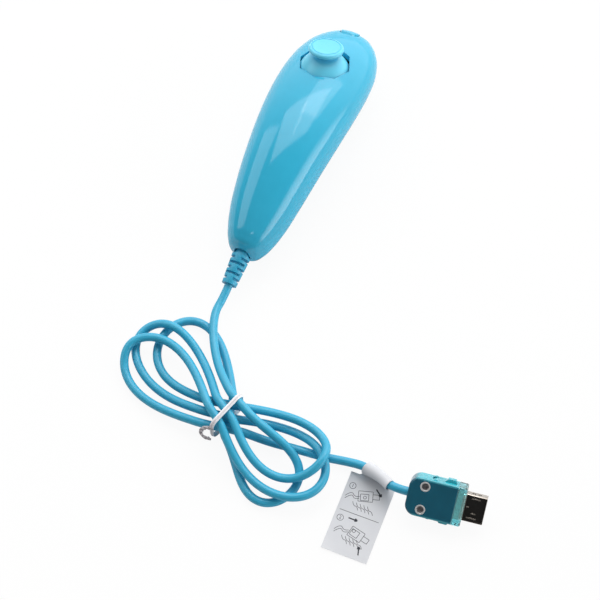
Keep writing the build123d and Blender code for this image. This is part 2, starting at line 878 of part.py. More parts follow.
# Centring spring
spring_low = base_bottom - base_wall - spring_wire_radius
spring_high = plate_top + plate_thickness + spring_wire_radius
spring_steps = 4 * spring_turns
spring_points = []
spring_tangents = []
for i in range(spring_steps + 1):
    a = 2 * pi * spring_turns * i / spring_steps
    z = lerp(-spring_low, -spring_high, i / spring_steps)
    spring_points.append(stick.from_local_coords(Vector(spring_radius * cos(a), spring_radius * sin(a), z)))
    climb = (spring_low - spring_high) / (2 * pi * spring_turns)
    slope = stick.x_dir * (-spring_radius * sin(a)) + stick.y_dir * (spring_radius * cos(a))
    slope += stick.z_dir * climb
    spring_tangents.append(slope.normalized())
with BuildPart() as centring_spring:
    with BuildLine():
        for i in range(spring_steps):
            biarc(spring_points[i], spring_tangents[i], spring_points[i + 1], spring_tangents[i + 1])
    with BuildSketch(Plane(spring_points[0], z_dir=spring_tangents[0])):
        RegularPolygon(spring_wire_radius, 6)
    sweep()
centring_spring.part.label = "centring_spring"

# Main board, under the stick base
board_middle = (board_front - board_rear) / 2
with BuildPart() as main_board:
    with BuildSketch(stick.offset(-base_bottom)):
        with Locations((0, board_middle)):
            RectangleRounded(board_width, board_front + board_rear, board_round)
        with Locations(*post_spots):
            Circle(screw_radius + running_gap, mode=Mode.SUBTRACT)
    extrude(amount=-board_thickness)
main_board.part.label = "main_board"

# Sensor and controller chips, and the cable's socket, on the board
with BuildPart() as board_chips:
    with BuildSketch(stick.offset(-base_bottom)):
        with Locations((0, -chip_y)):
            Rectangle(chip_size, chip_size)
    extrude(amount=chip_height)
    with BuildSketch(stick.offset(-base_bottom - board_thickness)):
        with Locations((0, 0), (0, -chip_row_pitch)):
            Rectangle(chip_width, chip_size)
    extrude(amount=-chip_height)
board_chips.part.label = "board_chips"

with BuildPart() as board_screws:
    with BuildSketch(stick.offset(-base_bottom - board_thickness)):
        with Locations(*post_spots):
            Circle(screw_head_radius)
    extrude(amount=-screw_head_height)
    with BuildSketch(stick.offset(-base_bottom - board_thickness)):
        with Locations(*post_spots):
            Circle(screw_radius)
    extrude(amount=board_thickness + screw_grip)
board_screws.part.label = "board_screws"

# Upper nose button: a cap with a flange inside the shell and a stem through the frame
c_back_y = nose_y - c_back_from_nose
with BuildPart() as c_flange_form:
    with BuildSketch(nose_plane(c_back_y)):
        with Locations((0, c_z)):
            SlotOverall(c_width + 2 * c_flange, c_height + 2 * c_flange)
    extrude(amount=c_flange_thickness)
    add(seat_form, mode=Mode.INTERSECT)
with BuildPart() as c_button:
    with BuildSketch(nose_plane(c_back_y)):
        with Locations((0, c_z)):
            SlotOverall(c_width, c_height)
    extrude(amount=cut_overrun)
    add(proud_form, mode=Mode.INTERSECT)
    add(c_flange_form.part)
    with BuildSketch(nose_plane(dome_top_y + press_gap)):
        with Locations((0, c_z)):
            Circle(c_stem_radius)
    extrude(amount=c_back_y - dome_top_y - press_gap)
c_button.part.label = "c_button"

# Lower nose trigger: a hollow cap on a hinge, with a plunger through the frame
z_back_y = nose_y - z_back_from_nose
hinge_y = nose_y - hinge_from_nose
hinge_z = z_z + hinge_rise
plunger_y = dome_top_y + z_press_gap
plunger_z = hinge_z - z_plunger_drop
hinge = side_plane(0)
with BuildPart() as z_trigger:
    with BuildSketch(nose_plane(z_back_y)):
        with Locations((0, z_z)):
            RectangleRounded(z_width, z_height, z_round - z_gap)
    extrude(amount=cut_overrun)
    add(proud_form, mode=Mode.INTERSECT)
    with BuildSketch(nose_plane(z_back_y)):
        with Locations((0, z_z)):
            RectangleRounded(z_width - 2 * z_wall, z_height - 2 * z_wall, z_round - z_wall)
    extrude(amount=z_pocket, mode=Mode.SUBTRACT)
    with BuildSketch(hinge):
        with Locations((hinge_y, hinge_z)):
            Circle(knuckle_radius)
    extrude(amount=z_width / 2, both=True)
    with BuildSketch(nose_plane(plunger_y)):
        with Locations((0, plunger_z)):
            Circle(z_plunger_radius)
    extrude(amount=z_back_y + z_pocket - plunger_y)
    with BuildSketch(hinge):
        with Locations((hinge_y, hinge_z)):
            Circle(hinge_pin_radius + running_gap)
    extrude(amount=z_width, both=True, mode=Mode.SUBTRACT)
z_trigger.part.label = "z_trigger"

ear_inner = z_width / 2 + knuckle_gap
with BuildPart() as trigger_pin:
    with BuildSketch(hinge):
        with Locations((hinge_y, hinge_z)):
            Circle(hinge_pin_radius)
    extrude(amount=ear_inner + ear_thickness, both=True)
trigger_pin.part.label = "trigger_pin"

# Frame that guides the stem, carries the trigger's pin and stands on the rubber pad
peg_zs = (stack_z + frame_peg_z, stack_z - frame_peg_z)
peg_spots = [(sx * frame_peg_x, z) for sx in (1, -1) for z in peg_zs]
with BuildPart() as button_frame:
    with BuildSketch(nose_plane(stack_y)):
        with Locations((0, stack_z)):
            Rectangle(frame_width, body_height)
    extrude(amount=frame_thickness)
    for side in (1, -1):
        with BuildSketch(side_plane(side * ear_inner)):
            with Locations(((stack_y + hinge_y) / 2, hinge_z)):
                Rectangle(hinge_y - stack_y, ear_height)
            with Locations((hinge_y, hinge_z)):
                Circle(ear_height / 2)
        extrude(amount=side * ear_thickness)
    with BuildSketch(nose_plane(stack_y)):
        with Locations((0, c_z)):
            Circle(c_stem_radius + frame_collar)
    extrude(amount=frame_thickness + frame_collar)
    add(seat_form, mode=Mode.INTERSECT)
    with BuildSketch(nose_plane(stack_y)):
        with Locations(*peg_spots):
            Circle(frame_peg_radius)
    extrude(amount=pad_y + pad_thickness - stack_y)
    with BuildSketch(nose_plane(stack_y)):
        with Locations((0, c_z)):
            Circle(c_stem_radius + running_gap)
        with Locations((0, plunger_z)):
            Circle(z_plunger_radius + fit_gap)
    extrude(amount=frame_thickness + frame_collar, mode=Mode.SUBTRACT)
    with BuildSketch(hinge):
        with Locations((hinge_y, hinge_z)):
            Circle(hinge_pin_radius)
    extrude(amount=body_width, both=True, mode=Mode.SUBTRACT)
button_frame.part.label = "button_frame"

# Rubber pad with a dome under each button
with BuildPart() as rubber_pad:
    with BuildSketch(nose_plane(pad_y)):
        with Locations((0, stack_z)):
            RectangleRounded(pad_width, pad_height, pad_round)
    extrude(amount=pad_thickness)
    add(seat_form, mode=Mode.INTERSECT)
    for z in (c_z, plunger_z):
        with BuildSketch(nose_plane(pad_y + pad_thickness)):
            with Locations((0, z)):
                Circle(dome_base)
        with BuildSketch(nose_plane(dome_top_y)):
            with Locations((0, z)):
                Circle(dome_tip)
        loft()
rubber_pad.part.label = "rubber_pad"

with BuildPart() as button_board:
    with BuildSketch(nose_plane(button_board_y)):
        with Locations((0, stack_z)):
            RectangleRounded(button_board_width, pad_height + pad_round, pad_round)
    extrude(amount=button_board_thickness)
    add(seat_form, mode=Mode.INTERSECT)
button_board.part.label = "button_board"

# Strain relief: a tapering boot of ribs joined by webs that alternate by a quarter turn
slot_pitch = relief_length - relief_start - relief_rib
slot_pitch = slot_pitch / relief_slots
relief_front = Plane(relief.origin, x_dir=relief.x_dir, z_dir=relief.y_dir)
with BuildPart() as strain_relief:
    with BuildSketch(relief.offset(-relief_flange_depth)):
        Circle(relief_neck_radius)
    extrude(amount=relief_flange_depth + relief_start)
    with BuildSketch(relief.offset(-relief_flange_depth)):
        Circle(relief_flange_radius)
    extrude(amount=-relief_flange_thickness)
    with BuildSketch(relief.offset(relief_start)):
        Circle(relief_root_radius)
    with BuildSketch(relief.offset(relief_length)):
        Circle(relief_tip_radius)
    loft()
    for i in range(relief_slots):
        with BuildSketch(relief.offset(relief_start + relief_rib + i * slot_pitch)):
            Circle(relief_root_radius + relief_rib)
            Circle(cord_diameter / 2 + fit_gap, mode=Mode.SUBTRACT)
            if i % 2:
                Rectangle(relief_web, 3 * relief_root_radius, mode=Mode.SUBTRACT)
            else:
                Rectangle(3 * relief_root_radius, relief_web, mode=Mode.SUBTRACT)
        extrude(amount=slot_pitch - relief_rib, mode=Mode.SUBTRACT)
strain_relief.part.label = "strain_relief"


def route_radii(points):
    """A bend radius at each inner point that keeps most of both runs' straightness."""
    radii = []
    for i in range(1, len(points) - 1):
        a, b = points[i] - points[i - 1], points[i + 1] - points[i]
        half_turn = radians(a.get_angle(b)) / 2
        radii.append(0.45 * min(a.length, b.length) / tan(half_turn))
    return radii


def tube_along(points, radius, label):
    """A round tube along straight runs joined by tangent arcs."""
    radii = route_radii(points)
    with BuildPart() as tube:
        with BuildLine() as path:
            FilletPolyline(*points, radius=radii)
        with BuildSketch(Plane(points[0], z_dir=points[1] - points[0])):
            Circle(radius)
        sweep()
    length = path.wires()[0].length
    print(label, "length", round(length, 2), "radii", [round(r, 1) for r in radii])
    share = tube.part.volume / (pi * radius ** 2 * length)
    print(label, "volume over section times length", round(share, 4))
    return tube, path.wires()[0]


# Cable inside the body, from the strain relief to its socket on the main board
cable_start = relief.from_local_coords(Vector(0, 0, -relief_flange_depth - relief_flange_thickness))
bend_point = wand_point(0, tail_y + cable_bend, relief_z + cable_bend * tan(droop))
socket_mouth = Vector(cable_socket_x, -board_rear + side_gap, cable_socket_rise + side_gap - base_bottom)
cable_route = [cable_start, bend_point]
cable_route += [wand_point(*p) for p in cable_points]
cable_route += [stick.from_local_coords(socket_mouth - Vector(0, cable_run, 0))]
cable_route += [stick.from_local_coords(socket_mouth)]
inner_cable, inner_path = tube_along(cable_route, inner_cable_radius, "inner_cable")
inner_cable.part.label = "inner_cable"

with BuildPart() as cable_socket:
    with BuildSketch(stick.offset(-base_bottom)):
        with Locations((cable_socket_x, socket_mouth.Y + socket_size / 2)):
            Rectangle(socket_size, socket_size)
    extrude(amount=socket_height)
cable_socket.part.label = "cable_socket"

# Clamp over the cable on the tail rib
with BuildPart() as cord_clamp:
    with BuildSketch(nose_plane(clamp_y - clamp_length / 2)):
        with Locations((0, clamp_z + (clamp_cover - rib_drop) / 2)):
            Rectangle(clamp_width, 2 * inner_cable_radius + clamp_cover + rib_drop)
    extrude(amount=clamp_length)
    add(inner_cable.part, mode=Mode.SUBTRACT)
    add(seat_form, mode=Mode.INTERSECT)
cord_clamp.part.label = "cord_clamp"

# Free cord from the strain relief to the hank
relief_end = relief.from_local_coords(Vector(0, 0, relief_length))
first_bend = relief.from_local_coords(Vector(0, 0, relief_length + cord_end_run))
lead_route = [relief_end, first_bend] + [on_table(*p) for p in cord_lead_points]
lead_route += [on_table(*cord_lead_end)]
cord_lead, lead_path = tube_along(lead_route, cord_diameter / 2, "cord_lead")
cord_lead.part.label = "cord_lead"

# Plug frame: x along the plug, y across it, z out of its face
heading, tilt = radians(plug_heading_deg), radians(plug_roll_deg)
plug = Plane(
    origin=on_table(*plug_rear),
    x_dir=(cos(heading), sin(heading), 0),
    z_dir=(sin(heading) * sin(tilt), -cos(heading) * sin(tilt), cos(tilt)),
)
last_bend = plug.from_local_coords(Vector(-cord_end_run, 0, 0))
tail_route = [on_table(*cord_tail_start)] + [on_table(*p) for p in cord_tail_points]
tail_route += [last_bend, plug.origin]
cord_tail, tail_path = tube_along(tail_route, cord_diameter / 2, "cord_tail")
cord_tail.part.label = "cord_tail"

# Hank: the loops' points, directions and heights
turn = radians(hank_angle_deg)
straight_end = straight_share * cord_diameter


def from_tie(x, y, z):
    """A point given from the tie, along and across the hank."""
    c, s = cos(turn), sin(turn)
    return on_table(tie_point[0] + x * c - y * s, tie_point[1] + x * s + y * c, z)


def loop_point(i, t):
    """The point a share t of the way round loop i, height left out."""
    start, end = loop_starts[i], loop_ends[i]
    out = radians(loop_angles_deg[i])
    reach = loop_reaches[i] * sin(pi * t) + loop_squares[i] * sin(3 * pi * t)
    side = loop_widths[i] * sin(2 * pi * t) + loop_bulges[i] * sin(3 * pi * t)
    side += loop_twists[i] * sin(4 * pi * t)
    x = lerp(start[0], end[0], t) + reach * cos(out) - side * sin(out)
    y = lerp(start[1], end[1], t) + reach * sin(out) + side * cos(out)
    return x, y


hank_points = []
for i in range(len(loop_starts)):
    knots = len(loop_heights[i]) - 1
    for k in range(knots + 1):
        x, y = loop_point(i, k / knots)
        hank_points.append((from_tie(x, y, loop_heights[i][k]), i, k / knots, knots))
hank_start, hank_end = lead_route[-1], tail_route[0]
start_dir = (lead_route[-1] - lead_route[-2]).normalized()
end_dir = (tail_route[1] - tail_route[0]).normalized()
places = [hank_start + start_dir * straight_end, on_table(*lead_exit)]
places += [p[0] for p in hank_points]
places += [on_table(*tail_entry), hank_end - end_dir * straight_end]
slopes = [start_dir]
for j in range(1, len(places) - 1):
    across = places[j + 1] - places[j - 1]
    slope = Vector(across.X, across.Y, 0)
    if 2 <= j < len(places) - 2:
        point, i, t, knots = hank_points[j - 2]
        step = 0.01
        ax, ay = loop_point(i, t - step)
        bx, by = loop_point(i, t + step)
        slope = (from_tie(bx, by, 0) - from_tie(ax, ay, 0)).normalized()
    back = (places[j] - places[j - 1]).length
    ahead = (places[j + 1] - places[j]).length
    rise = (places[j + 1].Z - places[j].Z) / ahead * back + (places[j].Z - places[j - 1].Z) / back * ahead
    slopes.append((slope.normalized() + Vector(0, 0, rise / (back + ahead))).normalized())
slopes.append(end_dir)
with BuildPart() as cord_hank:
    with BuildLine() as hank_path:
        Line(hank_start, places[0])
        for j in range(len(places) - 1):
            biarc(places[j], slopes[j], places[j + 1], slopes[j + 1])
        Line(places[-1], hank_end)
    with BuildSketch(Plane(hank_start, z_dir=start_dir)):
        Circle(cord_diameter / 2)
    sweep()
cord_hank.part.label = "cord_hank"


def gap_report(wire, label):
    """Print the wire's tightest bend, its least gap to itself and its least height."""
    marks = []
    travelled = 0
    tightest = body_length
    for edge in wire.edges():
        count = max(2, int(edge.length / cord_diameter * 3))
        for k in range(count):
            marks.append((edge @ (k / count), travelled + edge.length * k / count))
        travelled += edge.length
        bend = (edge % 0).get_angle(edge % 1)
        if bend > 1:
            tightest = min(tightest, edge.length / radians(bend))
    least, spot = body_length, None
    for a in range(len(marks)):
        for b in range(a + 1, len(marks)):
            if marks[b][1] - marks[a][1] > 3 * cord_diameter:
                d = (marks[a][0] - marks[b][0]).length
                if d < least:
                    least, spot = d, (marks[a], marks[b])
    print(label, "length", round(travelled, 1), "tightest bend", round(tightest, 1))
    print(label, "least gap to itself", round(least - cord_diameter, 2), "at", spot)
    print(label, "lowest", round(min(m[0].Z for m in marks) - cord_diameter / 2, 2))
    return marks


hank_wire = hank_path.wires()[0]
hank_marks = gap_report(hank_wire, "cord_hank")
print("cord_hank volume ratio", cord_hank.part.volume / (pi * (cord_diameter / 2) ** 2 * hank_wire.length))


# Twist tie: a closed band round the bundle and its twisted tail
tie_frame = Plane(from_tie(0, 0, 0), x_dir=(-sin(turn), cos(turn), 0), z_dir=(cos(turn), sin(turn), 0))
with BuildPart() as tie_twist:
    twist_route = [from_tie(*p) for p in tie_twist_points]
    with BuildLine():
        FilletPolyline(*twist_route, radius=route_radii(twist_route))
    with BuildSketch(Plane(twist_route[0], z_dir=twist_route[1] - twist_route[0])):
        Circle(tie_twist_radius)
    sweep()
with BuildPart() as twist_tie:
    with BuildSketch(tie_frame.offset(-tie_width / 2)):
        with Locations(((tie_left + tie_right) / 2, tie_top / 2)):
            RectangleRounded(tie_right - tie_left, tie_top, tie_round)
            RectangleRounded(
                tie_right - tie_left - 2 * tie_thickness,
                tie_top - 2 * tie_thickness,
                tie_round - tie_thickness,
                mode=Mode.SUBTRACT,
            )
    extrude(amount=tie_width)
    add(tie_twist.part)
twist_tie.part.label = "twist_tie"

# Plug housing: two halves that meet at the middle plane
plug_end = Plane(plug.origin, x_dir=plug.y_dir, z_dir=plug.x_dir)
screw_spots = [(plug_screw_back, side * plug_screw_side) for side in (1, -1)]
hinge_side = plug_width / 2 - latch_hinge_in
hinge_spots = [(latch_hinge_back, side * hinge_side) for side in (1, -1)]
window_start = latch_hinge_back - latch_knuckle_radius - latch_gap
window_end = latch_end + latch_gap
window_side = hinge_side - latch_knuckle_radius - latch_gap


def plug_outline(inset):
    """The plug's plan on its middle plane, drawn in by an inset."""
    rear, front = inset, plug_length - inset
    side = plug_width / 2 - inset
    back, nose = plug_rear_round - inset, max(plug_front_round - inset, 0)
    bow = sqrt(2) / 2
    with BuildSketch(plug) as plan:
        with BuildLine():
            for s in (1, -1):
                Line((rear, 0), (rear, s * (side - back)))
                ThreePointArc(
                    (rear, s * (side - back)),
                    (rear + back - back * bow, s * (side - back + back * bow)),
                    (rear + back, s * side),
                )
                Line((rear + back, s * side), (front - nose, s * side))
                if nose > 0:
                    ThreePointArc(
                        (front - nose, s * side),
                        (front - nose + nose * bow, s * (side - nose + nose * bow)),
                        (front, s * (side - nose)),
                    )
                Line((front, s * (side - nose)), (front, 0))
        make_face()
    return plan.sketch


def plug_half(up):
    """One half of the housing: up is 1 for the face side and -1 for the table side."""
    inner = plug_height / 2 - plug_wall
    with BuildPart() as half:
        extrude(plug_outline(0), amount=up * plug_height / 2)
        rim = half.faces().sort_by(Axis(plug.origin, plug.z_dir * up))[-1].edges()
        fillet(rim, plug_edge_round)
        extrude(plug_outline(plug_wall), amount=up * inner, mode=Mode.SUBTRACT)
        with BuildSketch(plug):
            with Locations(*screw_spots):
                Circle(plug_boss_radius)
        extrude(amount=up * inner)
        with BuildSketch(plug.offset(up * (latch_height / 2 + latch_gap))):
            with Locations(*hinge_spots):
                Circle(latch_boss_radius)
        extrude(amount=up * (inner - latch_height / 2 - latch_gap))
        with BuildSketch(plug_end):
            Circle(cord_diameter / 2)
        extrude(amount=plug_core_grip, mode=Mode.SUBTRACT)
        with BuildSketch(plug_end.offset(plug_length - 2 * plug_wall)):
            RectangleRounded(connector_width, connector_height, connector_round)
        extrude(amount=3 * plug_wall, mode=Mode.SUBTRACT)
        with BuildSketch(plug.offset(-latch_height / 2 - latch_gap)):
            with Locations(((window_start + window_end) / 2, window_side + plug_width / 2)):
                Rectangle(window_end - window_start, plug_width)
            with Locations(((window_start + window_end) / 2, -window_side - plug_width / 2)):
                Rectangle(window_end - window_start, plug_width)
        extrude(amount=latch_height + 2 * latch_gap, mode=Mode.SUBTRACT)
        with BuildSketch(plug):
            with Locations(*hinge_spots):
                Circle(latch_pin_radius)
        extrude(amount=up * (latch_height / 2 + latch_gap + latch_pin_reach), mode=Mode.SUBTRACT)
        if up > 0:
            with BuildSketch(plug.offset(head_seat)):
                with Locations(*screw_spots):
                    Circle(plug_screw_head + running_gap)
            extrude(amount=plug_height, mode=Mode.SUBTRACT)
            with BuildSketch(plug):
                with Locations(*screw_spots):
                    Circle(plug_screw_shank + running_gap)
            extrude(amount=plug_height, mode=Mode.SUBTRACT)
        else:
            with BuildSketch(plug):
                with Locations(*screw_spots):
                    Circle(plug_screw_shank)
            extrude(amount=-head_seat, mode=Mode.SUBTRACT)
    return half


head_seat = plug_height / 2 - plug_screw_recess - plug_screw_height
plug_top = plug_half(1)
plug_top.part.label = "plug_top"
plug_bottom = plug_half(-1)
plug_bottom.part.label = "plug_bottom"

with BuildPart() as plug_screws:
    with BuildSketch(plug.offset(head_seat)):
        with Locations(*screw_spots):
            Circle(plug_screw_head)
    extrude(amount=plug_screw_height)
    with BuildSketch(plug.offset(-head_seat)):
        with Locations(*screw_spots):
            Circle(plug_screw_shank)
    extrude(amount=2 * head_seat)
    with BuildSketch(plug.offset(head_seat + plug_screw_height - cross_depth)):
        with Locations(*screw_spots):
            cross_recess(plug_cross_size)
    extrude(amount=plug_screw_height, mode=Mode.SUBTRACT)
plug_screws.part.label = "plug_screws"

# Cord's end inside the plug, up to the plug's board
with BuildPart() as plug_core:
    with BuildSketch(plug_end):
        Circle(cord_diameter / 2)
    extrude(amount=plug_core_grip)
    with BuildSketch(plug_end):
        Circle(plug_core_radius)
    extrude(amount=plug_board_start)
plug_core.part.label = "plug_core"


def side_latch(side):
    """A latch on one side of the plug: hinged arm with a thumb pad."""
    edge = side * plug_width / 2
    with BuildPart() as latch:
        with BuildSketch(plug.offset(-latch_height / 2)):
            with Locations((latch_hinge_back, side * hinge_side)):
                Circle(latch_knuckle_radius)
            with Locations(((latch_hinge_back + latch_end) / 2, edge - side * latch_thickness / 2)):
                Rectangle(latch_end - latch_hinge_back, latch_thickness)
            with BuildLine():
                pad_edge = edge + side * latch_proud
                ramp = latch_proud
                Polyline(
                    (latch_button_start, edge),
                    (latch_button_start + ramp, pad_edge),
                    (latch_button_end - ramp / 2, pad_edge),
                    (latch_button_end, edge),
                    (latch_button_start, edge),
                )
            make_face()
            with Locations((latch_hinge_back, side * hinge_side)):
                Circle(latch_pin_radius + running_gap, mode=Mode.SUBTRACT)
        extrude(amount=latch_height)
    return latch


left_latch = side_latch(1)
left_latch.part.label = "left_latch"
right_latch = side_latch(-1)
right_latch.part.label = "right_latch"

with BuildPart() as latch_pins:
    with BuildSketch(plug):
        with Locations(*hinge_spots):
            Circle(latch_pin_radius)
    extrude(amount=latch_height / 2 + latch_gap + latch_pin_reach, both=True)
latch_pins.part.label = "latch_pins"

# Connector: metal shell with open faces, black insert, contact ribs and the board behind
connector_start = plug_length - connector_inside
connector_total = connector_inside + connector_length
face_middle = plug_length + connector_length / 2
with BuildPart() as connector_shell:
    with BuildSketch(plug_end.offset(connector_start)):
        RectangleRounded(connector_width, connector_height, connector_round)
        RectangleRounded(
            connector_width - 2 * connector_skin,
            connector_height - 2 * connector_skin,
            connector_round - connector_skin,
            mode=Mode.SUBTRACT,
        )
    extrude(amount=connector_total)
    with BuildSketch(plug):
        with Locations((face_middle, 0)):
            Rectangle(connector_length - 2 * window_band, connector_width - 2 * window_lip)
    extrude(amount=connector_height, both=True, mode=Mode.SUBTRACT)
connector_shell.part.label = "connector_shell"

contact_spots = [(face_middle, (i - (contact_count - 1) / 2) * contact_pitch) for i in range(contact_count)]
with BuildPart() as contact_insert:
    with BuildSketch(plug_end.offset(connector_start)):
        RectangleRounded(
            connector_width - 2 * connector_skin,
            connector_height - 2 * connector_skin,
            connector_round - connector_skin,
        )
    extrude(amount=connector_total - connector_skin)
    with BuildSketch(plug):
        with Locations((face_middle, 0)):
            Rectangle(connector_length - 2 * window_band, connector_width - 2 * window_lip)
    extrude(amount=connector_height / 2, both=True)
    with BuildSketch(plug_end.offset(plug_length + connector_length - insert_slot_depth)):
        Rectangle(insert_slot_width, insert_slot_height)
    extrude(amount=insert_slot_depth, mode=Mode.SUBTRACT)
    with BuildSketch(plug.offset(connector_height / 2 - contact_width)):
        with Locations(*contact_spots):
            Rectangle(contact_length, contact_width)
    extrude(amount=contact_width, mode=Mode.SUBTRACT)
contact_insert.part.label = "contact_insert"

with BuildPart() as contact_ribs:
    with BuildSketch(plug.offset(connector_height / 2 - contact_width)):
        with Locations(*contact_spots):
            Rectangle(contact_length, contact_width)
    extrude(amount=contact_width + contact_proud)
contact_ribs.part.label = "contact_ribs"

with BuildPart() as plug_board:
    with BuildSketch(plug.offset(-plug_board_thickness / 2)):
        with Locations(((plug_board_start + connector_start) / 2, 0)):
            Rectangle(connector_start - plug_board_start, plug_board_width)
    extrude(amount=plug_board_thickness)
    with BuildSketch(plug.offset(plug_board_thickness / 2)):
        with Locations(((plug_board_start + connector_start) / 2, 0)):
            Rectangle(plug_chip, plug_chip)
    extrude(amount=plug_chip_height)
plug_board.part.label = "plug_board"

# Paper tag: a flat panel on the table and a tab that wraps the cord as a sleeve
slant = radians(tag_turn_deg)
tag_plane = Plane(on_table(*tag_corner, 0), x_dir=(cos(slant), sin(slant), 0), z_dir=(0, 0, 1))
sleeve_radius = cord_diameter / 2 + sleeve_gap
sleeve_middle = tail_path @ sleeve_share
sleeve_dir = tail_path % sleeve_share
sleeve_up = (Vector(0, 0, 1) - sleeve_dir * sleeve_dir.Z).normalized()
with BuildPart() as tag_sleeve:
    with BuildLine():
        FilletPolyline(*tail_route, radius=route_radii(tail_route))
    with BuildSketch(Plane(tail_route[0], z_dir=tail_route[1] - tail_route[0])):
        Circle(sleeve_radius + tag_thickness)
        Circle(sleeve_radius, mode=Mode.SUBTRACT)
    sweep()
    with BuildSketch(Plane(sleeve_middle, z_dir=sleeve_dir).offset(-sleeve_length / 2)):
        Circle(sleeve_length)
    extrude(amount=sleeve_length, mode=Mode.INTERSECT)
with BuildPart() as instruction_tag:
    with BuildSketch(tag_plane):
        with Locations((tag_width / 2, -tag_length / 2)):
            Rectangle(tag_width, tag_length)
    extrude(amount=tag_thickness)
    tab_middle = tag_plane.from_local_coords(Vector(tab_from_corner + sleeve_length / 2, -tag_thickness, 0))
    with BuildSketch(Plane(tab_middle, x_dir=tag_plane.x_dir, z_dir=(0, 0, 1))):
        Rectangle(sleeve_length, tag_thickness)
    under = sleeve_middle - sleeve_up * (sleeve_radius + tag_thickness / 2)
    with BuildSketch(Plane(under, x_dir=sleeve_dir, z_dir=sleeve_up)):
        Rectangle(sleeve_length, tag_thickness)
    loft(ruled=True)
    add(tag_sleeve.part)
instruction_tag.part.label = "instruction_tag"

os.makedirs("parts", exist_ok=True)
pieces = (
    upper_shell, lower_shell, shell_screws, stick_cap, stick_shaft, roll_yoke, stick_pin, pitch_yoke,
    stick_base, stick_cover, pitch_pot, roll_pot, spring_plate, centring_spring, main_board, board_chips,
    board_screws, cable_socket, inner_cable, cord_clamp, c_button, z_trigger, trigger_pin, button_frame,
    rubber_pad, button_board, strain_relief, cord_lead, cord_hank, cord_tail, twist_tie, instruction_tag,
    plug_top, plug_bottom, plug_screws, plug_core, left_latch, right_latch, latch_pins, connector_shell,
    contact_insert, contact_ribs, plug_board,
)
for piece in pieces:
    box = piece.part.bounding_box()
    print(piece.part.label, round(piece.part.volume, 1), len(piece.part.solids()), box)
export_step(upper_shell.part, "parts/upper_shell.step")
export_step(lower_shell.part, "parts/lower_shell.step")
export_step(shell_screws.part, "parts/shell_screws.step")
export_step(stick_cap.part, "parts/stick_cap.step")
export_step(stick_shaft.part, "parts/stick_shaft.step")
export_step(roll_yoke.part, "parts/roll_yoke.step")
export_step(stick_pin.part, "parts/stick_pin.step")
export_step(pitch_yoke.part, "parts/pitch_yoke.step")
export_step(stick_base.part, "parts/stick_base.step")
export_step(stick_cover.part, "parts/stick_cover.step")
export_step(pitch_pot.part, "parts/pitch_pot.step")
export_step(roll_pot.part, "parts/roll_pot.step")
export_step(spring_plate.part, "parts/spring_plate.step")
export_step(centring_spring.part, "parts/centring_spring.step")
export_step(main_board.part, "parts/main_board.step")
export_step(board_chips.part, "parts/board_chips.step")
export_step(board_screws.part, "parts/board_screws.step")
export_step(cable_socket.part, "parts/cable_socket.step")
export_step(inner_cable.part, "parts/inner_cable.step")
export_step(cord_clamp.part, "parts/cord_clamp.step")
export_step(c_button.part, "parts/c_button.step")
export_step(z_trigger.part, "parts/z_trigger.step")
export_step(trigger_pin.part, "parts/trigger_pin.step")
export_step(button_frame.part, "parts/button_frame.step")
export_step(rubber_pad.part, "parts/rubber_pad.step")
export_step(button_board.part, "parts/button_board.step")
export_step(strain_relief.part, "parts/strain_relief.step")
export_step(cord_lead.part, "parts/cord_lead.step")
export_step(cord_hank.part, "parts/cord_hank.step")
export_step(cord_tail.part, "parts/cord_tail.step")
export_step(twist_tie.part, "parts/twist_tie.step")
export_step(instruction_tag.part, "parts/instruction_tag.step")
export_step(plug_top.part, "parts/plug_top.step")
export_step(plug_bottom.part, "parts/plug_bottom.step")
export_step(plug_screws.part, "parts/plug_screws.step")
export_step(plug_core.part, "parts/plug_core.step")
export_step(left_latch.part, "parts/left_latch.step")
export_step(right_latch.part, "parts/right_latch.step")
export_step(latch_pins.part, "parts/latch_pins.step")
export_step(connector_shell.part, "parts/connector_shell.step")
export_step(contact_insert.part, "parts/contact_insert.step")
export_step(contact_ribs.part, "parts/contact_ribs.step")
export_step(plug_board.part, "parts/plug_board.step")
low_corner = [min(getattr(piece.part.bounding_box().min, k) for piece in pieces) for k in "XYZ"]
high_corner = [max(getattr(piece.part.bounding_box().max, k) for piece in pieces) for k in "XYZ"]
print("whole box", low_corner, high_corner)

# Points and axes that the record states, in metres
shoulder_side = connector_width / 2 + plug_wall
shown = {
    "stick pivot": stick.origin,
    "stick x": stick.x_dir * 1000,
    "stick y": stick.y_dir * 1000,
    "trigger hinge": wand_point(0, hinge_y, hinge_z),
    "wand x": wand.x_dir * 1000,
    "left latch hinge": plug.from_local_coords(Vector(latch_hinge_back, hinge_side, 0)),
    "right latch hinge": plug.from_local_coords(Vector(latch_hinge_back, -hinge_side, 0)),
    "plug z": plug.z_dir * 1000,
    "plug x": plug.x_dir * 1000,
    "plug shoulder": plug.from_local_coords(Vector(plug_length, shoulder_side, plug_wall)),
    "plug front": plug.from_local_coords(Vector(plug_length + connector_length, 0, 0)),
}
for name, v in shown.items():
    print(name, round(v.X / 1000, 6), round(v.Y / 1000, 6), round(v.Z / 1000, 6))
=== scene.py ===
import logging
from dataclasses import dataclass, field
from enum import Enum
from math import cos, pi, radians, sin
from typing import Callable, Iterable, Sequence

import bpy
from bpy.types import ID, Material, Node, NodeSocket, NodeTree, Object
from mathutils import Matrix, Vector


